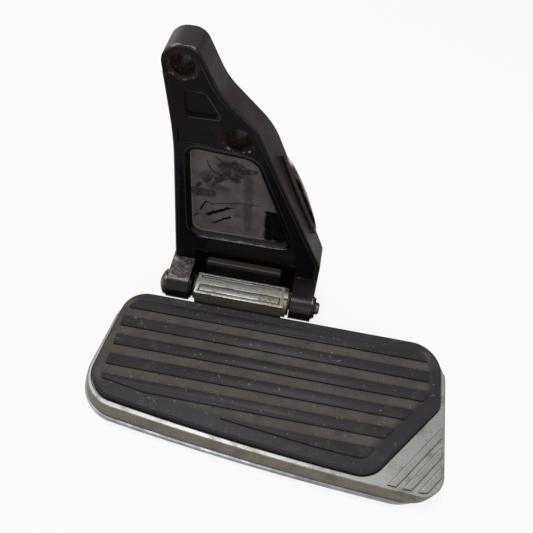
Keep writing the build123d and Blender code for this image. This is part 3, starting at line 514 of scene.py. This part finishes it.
def moulded_rubber(settings):
    """Moulded rubber: violet-black ribs, grey-brown dust in the channels, scuffs and pale specks."""
    made, tree, shader, place, spread, facing = surface("dusty_moulded_rubber")
    across = node(tree, "ShaderNodeVectorMath", {0: place, 1: tuple(PIN)}, operation="SUBTRACT")
    patches, fine, crumbs = grains(tree, place, (16.0, 6.0, 0.65), (0.8, 3.0, 0.6), (2.2, 3.0, 0.5))
    # the field of the ribs: sides, rear, bowed front and diagonal, each a straight line across x and y
    field = 1.0
    for share_x, share_y, start, end in ((1.0, 0.0, -99.0, -88.0), (1.0, 0.0, 161.0, 153.0),
                                         (0.0, 1.0, -20.0, -24.0), (0.104, 1.0, -105.0, -100.0),
                                         (cos(DIAGONAL), sin(DIAGONAL), 160.0, 154.0)):
        along = node(tree, "ShaderNodeVectorMath", {0: across, 1: (share_x, share_y, 0.0)}, out="Value",
                     operation="DOT_PRODUCT")
        field = both(tree, field, eased(tree, along, start * MM, end * MM))
    channel = rising(tree, spread, settings.rise * 0.6 / MM, 0.2)
    level = eased(tree, facing[2], 0.8, 0.98)
    scuffed = both(tree, eased(tree, patches, 0.52, 0.72, 0.0, 0.35), level)
    dust = both(tree, channel, level, field, eased(tree, patches, 0.34, 0.6, 0.5, 1.0))
    dust = both(tree, either(tree, dust, scuffed), eased(tree, fine, 0.3, 0.7, 0.75, 1.0))
    # ribs: painted shade on their front and end walls, and a paler line along their rear edges, part painted
    # highlight and part dust
    raised = rising(tree, spread, 0.1, 0.5)
    shaded = either(tree, eased(tree, facing[1], -0.25, -0.7), eased(tree, facing[0], -0.25, -0.7),
                    eased(tree, facing[0], 0.25, 0.7))
    front = both(tree, raised, shaded)
    rear = both(tree, raised, eased(tree, facing[1], 0.35, 0.6, 0.0, 0.8))
    specks = both(tree, eased(tree, crumbs, 0.67, 0.73), level, 0.6)
    nicks = both(tree, eased(tree, crumbs, 0.33, 0.29), level, 0.8)
    colour = coated(tree, "#252228", (field, linear(settings.rubber)), (dust, linear(settings.dust)),
                    (rear, "#79706a"), (front, "#0e0c0e"), (specks, "#8b8177"), (nicks, "#131113"))
    finish(tree, shader, colour, eased(tree, dust, 0.0, 1.0, 0.5, 0.8), fine, 0.2, 0.3, 0.25)
    shader.inputs["Specular IOR Level"].default_value = 0.3
    return made


def board_metal():
    """Cast aluminium: polished on top and on the rim, dull and brown down the skirt, with painted shade round
    its ribs and painted highlight along them.
    """
    made, tree, shader, place, spread, facing = surface("worn_brushed_aluminium_board")
    top = eased(tree, facing[2], 0.45, 0.85)
    broad, fine = grains(tree, place, (14.0, 6.0, 0.6), (0.7, 4.0, 0.7))
    stain = eased(tree, broad, 0.48, 0.7)
    bright = coated(tree, "#a3a4a1", (stain, "#7f7c74"))
    dull = coated(tree, "#746c61", (stain, "#5a534b"))
    lowest = min(corner[2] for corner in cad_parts["board_frame"].bound_box)
    bottom = eased(tree, spread[2], lowest + 0.005, lowest + 0.001, 0.0, 0.55)
    raised = both(tree, rising(tree, spread, RIM_Z + 0.3, RIM_Z + 0.9), top, 0.85)
    pits = both(tree, eased(tree, fine, 0.45, 0.37), eased(tree, broad, 0.35, 0.6, 0.35, 1.0), 0.85)
    colour = coated(tree, dull, (top, bright), (bottom, "#2a2622"), (raised, "#9b9a93"), (pits, "#2f2a25"))
    rough = eased(tree, top, 0.0, 1.0, 0.6, 0.4)
    soft = finish(tree, shader, colour, rough, fine, 0.12, 0.9, 0.3)
    # painted shade round the feet of the corner's ribs
    foot = rising(tree, spread, RIM_Z + 1.6, RIM_Z + 0.8)
    wall = both(tree, rising(tree, spread, RIM_Z + 0.05, RIM_Z + 0.2), foot)
    aside = node(tree, "ShaderNodeMath", {0: 1.0, 1: top}, operation="SUBTRACT")
    steep = eased(tree, aside, 0.3, 0.7)
    edges = on_edges(tree, soft, 0.985, 0.95)
    rim = both(tree, edges, rising(tree, spread, RIM_Z + 0.3, RIM_Z + 0.1))
    # painted highlight along the upper edges of the corner's ribs and painted shade along their lower ones,
    # so that they look round
    turned = node(tree, "ShaderNodeVectorTransform", {0: soft}, vector_type="NORMAL", convert_from="WORLD",
                  convert_to="OBJECT")
    side = node(tree, "ShaderNodeVectorMath", {0: turned, 1: (cos(DIAGONAL), sin(DIAGONAL), 0.0)},
                out="Value", operation="DOT_PRODUCT")
    on_rib = rising(tree, spread, RIM_Z + 0.6, RIM_Z + 0.9)
    crest_highlight = both(tree, on_rib, eased(tree, side, -0.02, -0.25, 0.0, 0.85))
    shade = both(tree, on_rib, eased(tree, side, 0.02, 0.3, 0.0, 0.75))
    # painted shade along the edges at the plate's level, meant for the feet of the ribs
    inner = both(tree, rim, boxed(tree, spread, (2, RIM_Z - 0.05, None)))
    dark = either(tree, both(tree, wall, steep), both(tree, inner, 0.8))
    colour = coated(tree, colour, (dark, "#1f1b18"), (shade, "#4f483f"), (crest_highlight, "#dcdcd8"))
    tree.links.new(colour, shader.inputs["Base Color"])
    tree.links.new(eased(tree, top, 0.0, 1.0, 0.3, 0.9), shader.inputs["Metallic"])
    return made


def rounded(corners, step, grow=0.0):
    """Points of a closed outline with rounded corners, given as x, y and radius, grown by a distance."""
    points = []
    count = len(corners)
    for i, (x, y, radius) in enumerate(corners):
        here = Vector((x, y))
        back = (Vector(corners[i - 1][:2]) - here).normalized()
        ahead = (Vector(corners[(i + 1) % count][:2]) - here).normalized()
        half = back.angle(ahead) / 2
        centre = here + (back + ahead).normalized() * (radius / sin(half))
        a = atan2(*(here + back * (radius / tan(half)) - centre).yx)
        b = atan2(*(here + ahead * (radius / tan(half)) - centre).yx)
        sweep = (b - a + radians(180)) % radians(360) - radians(180)
        points += [centre + Vector((cos(a + sweep * t / step), sin(a + sweep * t / step))) * (radius + grow)
                   for t in range(step + 1)]
    return points


def cut_corner(a, b, reach):
    """Where the line through two points meets the diagonal at a distance from the pin's middle."""
    normal = Vector((cos(DIAGONAL), sin(DIAGONAL)))
    return a + (b - a) * ((reach - a.dot(normal)) / (b - a).dot(normal))


def bowed_front(left, right, rear_right, reach, high_radius, low_radius):
    """The cut corner and the bowed front of an outline, with radii, from the right side to the left."""
    def bowed(t):
        return left.lerp(right, t) + Vector((0, -FRONT_BOW * 4 * t * (1 - t)))

    low = cut_corner(bowed(0.7), right, reach)
    high = cut_corner(right, rear_right, reach)
    return [(*high, high_radius), (*low, low_radius), (*bowed(0.68), 700.0), (*bowed(0.36), 900.0)]


def tread_outline(inset, rear_inset):
    """The tread's outline, pulled in from the board's edge; mm from the pin."""
    left = Vector((FRONT_LEFT[0] + inset, FRONT_LEFT[1] + inset))
    right = Vector((FRONT_RIGHT[0] - inset, FRONT_RIGHT[1] + inset))
    rear_y = BOARD_REAR - rear_inset
    rear_left = Vector((REAR_LEFT_X + inset - TREAD_LEAN, rear_y))
    rear_right = Vector((REAR_RIGHT_X - inset, rear_y))
    reach = DIAGONAL_REACH + RIM_W + TREAD_BEVEL - inset
    front = bowed_front(left, right, rear_right, reach, CUT_HIGH_R - inset, CUT_LOW_R - inset)
    return rounded([(*left, CORNER_FL - inset), (*rear_left, CORNER_RL - inset),
                    (*rear_right, CORNER_RR - inset)] + front, 10)


def rib_outline():
    """The outline that the ribs end on: straight sides, a bowed front and a cut corner."""
    edge = RIM_W + TREAD_BEVEL + RIB_MARGIN
    left = Vector((FRONT_LEFT[0] + edge, FRONT_LEFT[1] + edge))
    right = Vector((FRONT_RIGHT[0] - edge, FRONT_RIGHT[1] + edge))
    rear_right = Vector((REAR_RIGHT_X - edge, RIB_REAR_Y))
    front = bowed_front(left, right, rear_right, DIAGONAL_REACH - RIB_CUT_MARGIN, 1.0, RIB_TIP_R)
    return rounded([(RIB_LEFT_X, left.y, 2.0), (RIB_LEFT_X, RIB_REAR_Y, RIB_CORNER_R),
                    (*rear_right, RIB_CORNER_R)] + front, 12)


def placed(name, mesh):
    """Puts a finished mesh into the scene, its faces turned outwards."""
    bmesh.ops.recalc_face_normals(mesh, faces=mesh.faces)
    data = bpy.data.meshes.new(name)
    mesh.to_mesh(data)
    mesh.free()
    made = bpy.data.objects.new(name, data)
    bpy.context.scene.collection.objects.link(made)
    return made


def stacked(name, loops):
    """A solid from closed loops of equal length, capped at both ends."""
    mesh = bmesh.new()
    rings = [[mesh.verts.new(p) for p in loop] for loop in loops]
    for lower, upper in zip(rings, rings[1:]):
        for i in range(len(lower)):
            j = (i + 1) % len(lower)
            mesh.faces.new((lower[i], lower[j], upper[j], upper[i]))
    mesh.faces.new(reversed(rings[0]))
    mesh.faces.new(rings[-1])
    return placed(name, mesh)


def settled(made, angle=35.0):
    """Turns an object's modifiers into a plain mesh, shaded smooth but for its creases."""
    bpy.context.view_layer.update()
    done = bpy.data.meshes.new_from_object(made.evaluated_get(bpy.context.evaluated_depsgraph_get()))
    made.modifiers.clear()
    made.data = done
    done.name = made.name
    for face in done.polygons:
        face.use_smooth = True
    done.set_sharp_from_angle(angle=radians(angle))
    return made


def softened(name, new_name, width, material):
    """Stands in for a solid with a copy whose sharp edges are rounded by a width in mm."""
    mesh = bmesh.new()
    mesh.from_mesh(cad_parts[name].data)
    bmesh.ops.remove_doubles(mesh, verts=mesh.verts, dist=1e-6)
    bmesh.ops.dissolve_limit(mesh, angle_limit=radians(0.5), verts=mesh.verts, edges=mesh.edges)
    made = placed(new_name, mesh)
    bevel = made.modifiers.new("rounding", "BEVEL")
    bevel.width, bevel.segments = width * MM, 3
    bevel.limit_method, bevel.angle_limit = "ANGLE", radians(30)
    settled(made)
    made.data.materials.clear()
    made.data.materials.append(material)
    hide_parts(name)
    return made


def dress(name, material):
    """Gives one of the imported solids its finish."""
    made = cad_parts[name]
    made.data.materials.clear()
    made.data.materials.append(material)


def share_setting(name, description, default):
    """A setting between none and all."""
    return bpy.props.FloatProperty(name=name, description=description, default=default, min=0.0, max=1.0,
                                   subtype="FACTOR")


def colour_setting(name, description, *default):
    """A setting for a colour, as sRGB shares."""
    return bpy.props.FloatVectorProperty(name=name, description=description, default=default, size=3,
                                         min=0.0, max=1.0, subtype="COLOR_GAMMA")


class CastingSettings(bpy.types.PropertyGroup):
    """Finish of the painted bracket"""

    film: share_setting("Film", "How much dust lies on the flank and the crown", 0.9)
    crown: share_setting("Crown", "Share of that dust on faces that look up", 0.5)
    film_colour: colour_setting("Film colour", "Colour of the dust film", 0.175, 0.13, 0.135)
    panel_colour: colour_setting("Panel colour", "Colour of the dust on the panel", 0.4, 0.37, 0.368)
    wear: share_setting("Wear", "How much paint is worn off the edges", 0.7)


class TreadSettings(bpy.types.PropertyGroup):
    """Sizes and colours of the rubber tread"""

    count: bpy.props.IntProperty(name="Ribs", description="Number of ribs across the tread", default=6,
                                 min=1)
    pitch: bpy.props.FloatProperty(name="Pitch", description="Distance from one rib to the next",
                                   default=0.0168, unit="LENGTH")
    first: bpy.props.FloatProperty(name="First rib", description="Middle of the first rib behind the pin",
                                   default=-0.0269, unit="LENGTH")
    width: bpy.props.FloatProperty(name="Rib width", description="Width of a rib at its foot",
                                   default=0.0086, unit="LENGTH")
    rise: bpy.props.FloatProperty(name="Rib height", description="Height of a rib above the channels",
                                  default=0.0018, unit="LENGTH")
    rubber: colour_setting("Rubber", "Colour of the clean rubber", 0.152, 0.141, 0.157)
    dust: colour_setting("Dust", "Colour of the dust in the channels", 0.35, 0.322, 0.295)


class StageSettings(bpy.types.PropertyGroup):
    """Camera, light and floor"""

    focal: bpy.props.FloatProperty(name="Focal length", description="Lens for a 36 mm wide sensor, in mm",
                                   default=37.15, min=1.0)
    key: bpy.props.FloatProperty(name="Key light", description="Power of the lamp overhead, in watts",
                                 default=7.0, min=0.0)
    fill: bpy.props.FloatProperty(name="Fill light", description="Power of the lamp in front, in watts",
                                  default=2.0, min=0.0)
    ambient: bpy.props.FloatProperty(name="Ambient", description="Strength of the light from all round",
                                     default=0.5, min=0.0)
    mirrored: share_setting("Mirrored", "Brightness of the surroundings in metal", 0.6)


class FLOORBOARD_OT_bracket(bpy.types.Operator):
    """Finish the cast mounting bracket and round the lip of its sunk panel"""

    bl_idname = "floorboard.bracket"
    bl_label = "Mounting Bracket"

    def execute(self, context):
        settings = context.scene.floorboard_casting
        dress("bracket", painted_casting(settings))
        # from the floor up its rounded corner and wall, over the lip, and back inside the casting
        corner = [(1 - sin(radians(turn)), 1 - cos(radians(turn))) for turn in range(0, 91, 15)]
        profile = [(-WALL_LEAN - TRAY_R * x, TRAY_Y - TRAY_R * y) for x, y in corner]
        profile += [(-0.3, FACE_Y + 0.8)]
        profile += [(LIP_W * (1 - cos(radians(turn))) / 2, FACE_Y - LIP_RISE * sin(radians(turn)))
                    for turn in range(0, 181, 20)]
        profile += [(LIP_W, FACE_Y + TRAY_BACK), (TRAY_BACK, FACE_Y + TRAY_BACK),
                    (TRAY_BACK, PANEL_Y + TRAY_BACK)]
        loops = [[at_mm(p.x, y, p.y) for p in rounded(PANEL, 12, out)] for out, y in profile]
        tray = stacked("panel_and_lip", loops)
        for finish_of in (painted_lip(), dusty_panel(settings)):
            tray.data.materials.append(finish_of)
        for face in tray.data.polygons:
            face.material_index = int(face.center.y > PIN.y + (TRAY_Y - TRAY_R) * MM)
        settled(tray, angle=50.0)
        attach(tray, "bracket")
        return {"FINISHED"}


class FLOORBOARD_OT_hinge(bpy.types.Operator):
    """Finish the hinge pin, its washers and clip, the bushes and the stop plate"""

    bl_idname = "floorboard.hinge"
    bl_label = "Hinge Hardware"

    def execute(self, context):
        # yellow zinc plating, dulled to olive on the pin's head
        dress("hinge_pin",
              mottled_metal("worn_yellow_zinc_steel", "#75685a", "#352d26", 0.42, 2.5, 0.05, 0.8))
        # black oxide on washers, clip and screws
        dark = mottled_metal("black_oxide_steel", "#3a3634", "#1d1a19", 0.36, 2.0, 0.03)
        for name in ("pin_washer", "pin_clip", "thrust_washer", "spring_washer", "stop_plate_screws"):
            dress(name, dark)
        # sintered bronze, brown with old oil
        bronze = mottled_metal("oily_sintered_bronze", "#54493b", "#2b231a", 0.5, 1.5, 0.03, 0.7)
        for name in ("left_bush", "right_bush"):
            dress(name, bronze)
        dress("stop_plate", steel_painted_light_and_shade())
        return {"FINISHED"}


class FLOORBOARD_OT_arm(bpy.types.Operator):
    """Finish the hinge arm"""

    bl_idname = "floorboard.arm"
    bl_label = "Hinge Arm"

    def execute(self, context):
        made = softened("hinge_arm", "hinge_arm_casting", 0.3, pitted_aluminium())
        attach(made, "board")
        return {"FINISHED"}


class FLOORBOARD_OT_board(bpy.types.Operator):
    """Finish the board, its bottom plate, seal and screws"""

    bl_idname = "floorboard.board"
    bl_label = "Board"

    def execute(self, context):
        dress("board_frame", board_metal())
        # pressed and polished aluminium sheet, bluish from the sky it mirrors
        dress("bottom_plate",
              mottled_metal("polished_aluminium_sheet", "#8f9298", "#7e8188", 0.42, 12.0, 0.005))
        # zinc plating gone grey
        screws = mottled_metal("zinc_plated_steel", "#8a8884", "#5b5955", 0.4, 1.5, 0.03)
        for name in ("plate_screws", "arm_screws", "mat_retainers"):
            dress(name, screws)
        # soft black rubber, pressed flat between the skirt and the plate
        seal = softened("edge_seal", "edge_seal_strip", 0.3,
                        mottled_metal("black_rubber_seal", "#121111", "#0b0a0a", 0.7, 2.0, 0.02, 0.0))
        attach(seal, "board")
        return {"FINISHED"}


class FLOORBOARD_OT_tread(bpy.types.Operator):
    """Mould the rubber tread: a body with a rounded edge and ribs cut along their own outline"""

    bl_idname = "floorboard.tread"
    bl_label = "Rubber Tread"

    def execute(self, context):
        sizes = context.scene.floorboard_tread
        rubber = moulded_rubber(sizes)
        start, drop = RIM_W + TREAD_BEVEL - TREAD_EDGE_OUT, TREAD_EDGE_R
        profile = [(RIM_W + 0.3, 0.0, PAN_Z), (RIM_W + 0.4, 0.0, RIM_Z - 1.0), (start, 0.0, -drop)]
        for t in range(1, 7):
            turn = radians(90) * t / 6
            profile.append((start + drop * (1 - cos(turn)), drop * (1 - cos(turn)), drop * (sin(turn) - 1)))
        # one more loop on the level keeps the flat top from shading into the rounded edge
        profile.append((start + drop + 0.3, drop + 0.3, 0.0))
        loops = [[at_mm(p.x, p.y, z) for p in tread_outline(inset, TREAD_REAR_GAP + rear)]
                 for inset, rear, z in profile]
        body = stacked("tread_body", loops)
        body.data.materials.append(rubber)
        settled(body, angle=50.0)
        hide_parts("tread_mat")
        for piece in (body, self.ribs(sizes, rubber)):
            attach(piece, "board")
        return {"FINISHED"}

    def ribs(self, sizes, rubber):
        """Bars in a row, cut to their outline by Geometry Nodes, then rounded."""
        outline = rib_outline()
        made = stacked("tread_ribs", [[at_mm(p.x, p.y, z) for p in outline] for z in (-1.0, 6.0)])
        tree = bpy.data.node_groups.new("rib_rows", "GeometryNodeTree")
        face = tree.interface
        face.new_socket("Field", in_out="INPUT", socket_type="NodeSocketGeometry")
        keys = {}
        for name, kind, value in (("Ribs", "NodeSocketInt", sizes.count),
                                  ("Pitch", "NodeSocketFloat", sizes.pitch),
                                  ("Width", "NodeSocketFloat", sizes.width),
                                  ("Height", "NodeSocketFloat", sizes.rise),
                                  ("First", "NodeSocketFloat", sizes.first)):
            keys[face.new_socket(name, in_out="INPUT", socket_type=kind).identifier] = value
        face.new_socket("Ribs", in_out="OUTPUT", socket_type="NodeSocketGeometry")
        given = node(tree, "NodeGroupInput", {}).node.outputs
        double = node(tree, "ShaderNodeMath", {0: given["Height"], 1: 2.0}, operation="MULTIPLY")
        size = node(tree, "ShaderNodeCombineXYZ", {0: RIB_BAR, 1: given["Width"], 2: double})
        bar = node(tree, "GeometryNodeMeshCube", {"Size": size})
        step = node(tree, "ShaderNodeMath", {0: given["Pitch"], 1: -1.0}, operation="MULTIPLY")
        offset = node(tree, "ShaderNodeCombineXYZ", {1: step})
        begin = node(tree, "ShaderNodeCombineXYZ", {1: given["First"]})
        begin = node(tree, "ShaderNodeVectorMath", {0: begin, 1: tuple(PIN)}, operation="ADD")
        row = node(tree, "GeometryNodeMeshLine", {"Count": given["Ribs"], "Start Location": begin,
                                                  "Offset": offset})
        bars = node(tree, "GeometryNodeInstanceOnPoints", {"Points": row, "Instance": bar})
        bars = node(tree, "GeometryNodeRealizeInstances", {0: bars})
        cut = node(tree, "GeometryNodeMeshBoolean", {}, operation="INTERSECT").node
        tree.links.new(given["Field"], cut.inputs["Mesh 2"])
        tree.links.new(bars, cut.inputs["Mesh 2"])
        plain = node(tree, "GeometryNodeRealizeInstances", {0: cut.outputs[0]})
        done = node(tree, "GeometryNodeSetMaterial", {0: plain, "Material": rubber})
        node(tree, "NodeGroupOutput", {0: done})
        rows = made.modifiers.new("rows", "NODES")
        rows.node_group = tree
        for key, value in keys.items():
            rows[key] = value
        rounding = made.modifiers.new("rounding", "BEVEL")
        rounding.width, rounding.segments = RIB_ROUNDING * MM, 3
        rounding.limit_method, rounding.angle_limit = "ANGLE", radians(35)
        rounding.harden_normals = True
        return settled(made, angle=40.0)


class FLOORBOARD_OT_trim(bpy.types.Operator):
    """Finish the chrome trim on the bracket's flank"""

    bl_idname = "floorboard.trim"
    bl_label = "Chrome Trim"

    def execute(self, context):
        # chrome with brown streaks of painted reflection and painted highlights at both ends, still a mirror
        heights = [corner[2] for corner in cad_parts["trim_cap"].bound_box]
        dress("trim_cap", chrome_painted_reflections(max(heights), min(heights)))
        # black plastic gone violet-grey
        dress("trim_base", mottled_metal("black_moulded_plastic", "#454046", "#1b181b", 0.45, 1.3, 0.4, 0.0))
        dress("trim_screws", mottled_metal("blackened_steel_screws", "#3a3634", "#211e1d", 0.42, 2.0, 0.03))
        return {"FINISHED"}


class FLOORBOARD_OT_stage(bpy.types.Operator):
    """Set up the floor, the lamps, the white surroundings and the camera"""

    bl_idname = "floorboard.stage"
    bl_label = "Stage"

    def execute(self, context):
        settings = context.scene.floorboard_stage
        scene = context.scene
        scene.view_settings.view_transform = "Standard"
        floor = bpy.data.objects.new("floor", bpy.data.meshes.new("floor"))
        level = cad_box[0][2]
        corners = [(x * FLOOR_HALF, y * FLOOR_HALF, level) for x, y in ((-1, -1), (1, -1), (1, 1), (-1, 1))]
        floor.data.from_pydata(corners, [], [(0, 1, 2, 3)])
        scene.collection.objects.link(floor)
        floor.data.materials.append(self.floor_finish(settings))
        world = bpy.data.worlds.new("surroundings")
        world.use_nodes = True
        tree = world.node_tree
        tree.nodes.clear()
        strength = either(tree, self.shown(tree, 1.0, settings.mirrored), settings.ambient)
        shader = node(tree, "ShaderNodeBackground", {"Color": linear("#ffffff"), "Strength": strength})
        node(tree, "ShaderNodeOutputWorld", {"Surface": shader})
        scene.world = world
        middle = Vector((0.09, -0.09, -0.15))
        for name, spot, size, power in (("key", (-0.1, 0.02, 1.1), 0.35, settings.key),
                                        ("fill", (0.5, -1.0, 0.55), 0.9, settings.fill)):
            lamp = bpy.data.lights.new(name, "AREA")
            lamp.shape, lamp.size, lamp.energy = "DISK", size, power
            holder = bpy.data.objects.new(name, lamp)
            scene.collection.objects.link(holder)
            aim = (middle - Vector(spot)).to_track_quat("-Z", "Y")
            holder.matrix_world = Matrix.Translation(spot) @ aim.to_matrix().to_4x4()
        self.camera(scene, settings)
        return {"FINISHED"}

    def shown(self, tree, straight, mirrored):
        """How strongly a backdrop glows for the camera and through glass, and in mirror images."""
        ray = node(tree, "ShaderNodeLightPath", {}).node.outputs
        seen = both(tree, either(tree, ray["Is Camera Ray"], ray["Is Transmission Ray"]), straight)
        return either(tree, seen, both(tree, ray["Is Glossy Ray"], mirrored))

    def floor_finish(self, settings):
        """White paper sweep: the camera sees it nearly white, and it keeps a faint shadow."""
        made, tree, shader, *_ = surface("white_paper_floor")
        shader.inputs["Base Color"].default_value = linear("#f4f3f1")
        shader.inputs["Roughness"].default_value = 0.9
        shader.inputs["Specular IOR Level"].default_value = 0.1
        share = self.shown(tree, 0.85, settings.mirrored)
        white = node(tree, "ShaderNodeEmission", {"Color": linear("#ffffff"), "Strength": 1.0})
        mixed = node(tree, "ShaderNodeMixShader", {0: share, 1: shader.outputs[0], 2: white})
        out = next(n for n in tree.nodes if n.bl_idname == "ShaderNodeOutputMaterial")
        tree.links.new(mixed, out.inputs["Surface"])
        return made

    def camera(self, scene, settings):
        """The photograph's viewing angle: high, from the front, turned by a few degrees."""
        azimuth, elevation, roll = radians(AZIMUTH), radians(ELEVATION), radians(ROLL)
        ahead = Vector((-sin(azimuth) * cos(elevation), cos(azimuth) * cos(elevation), -sin(elevation)))
        across = Vector((cos(azimuth), sin(azimuth), 0.0))
        down = ahead.cross(across)
        right = across * cos(roll) - down * sin(roll)
        below = across * sin(roll) + down * cos(roll)
        holder = bpy.data.objects.new("camera", bpy.data.cameras.new("camera"))
        holder.data.lens, holder.data.sensor_width = settings.focal, SENSOR
        holder.data.clip_start = 0.01
        turned = Matrix((right, -below, -ahead)).transposed().to_4x4()
        holder.matrix_world = Matrix.Translation(CAMERA_AT) @ turned
        scene.collection.objects.link(holder)
        scene.camera = holder


class FLOORBOARD_PT_panel(bpy.types.Panel):
    """Lists the floorboard's pieces"""

    bl_idname = "FLOORBOARD_PT_panel"
    bl_label = "Folding Floorboard"
    bl_space_type = "VIEW_3D"
    bl_region_type = "UI"
    bl_category = "Floorboard"

    def draw(self, context):
        for name in STEPS:
            self.layout.operator(f"floorboard.{name}")
        for group in SETTINGS:
            settings = getattr(context.scene, group)
            box = self.layout.box()
            for key in settings.__annotations__:
                box.prop(settings, key)


STEPS = ("bracket", "hinge", "arm", "board", "tread", "trim", "stage")
SETTINGS = {"floorboard_casting": CastingSettings, "floorboard_tread": TreadSettings,
            "floorboard_stage": StageSettings}
CLASSES = (
    *SETTINGS.values(), FLOORBOARD_OT_bracket, FLOORBOARD_OT_hinge, FLOORBOARD_OT_arm,
    FLOORBOARD_OT_board, FLOORBOARD_OT_tread, FLOORBOARD_OT_trim, FLOORBOARD_OT_stage,
    FLOORBOARD_PT_panel,
)


def register():
    for kind in CLASSES:
        bpy.utils.register_class(kind)
    for name, kind in SETTINGS.items():
        setattr(bpy.types.Scene, name, bpy.props.PointerProperty(type=kind))


def unregister():
    for name in SETTINGS:
        delattr(bpy.types.Scene, name)
    for kind in reversed(CLASSES):
        bpy.utils.unregister_class(kind)


def main():
    register()
    for name in STEPS:
        getattr(bpy.ops.floorboard, name)()


if __name__ == "__main__":
    main()
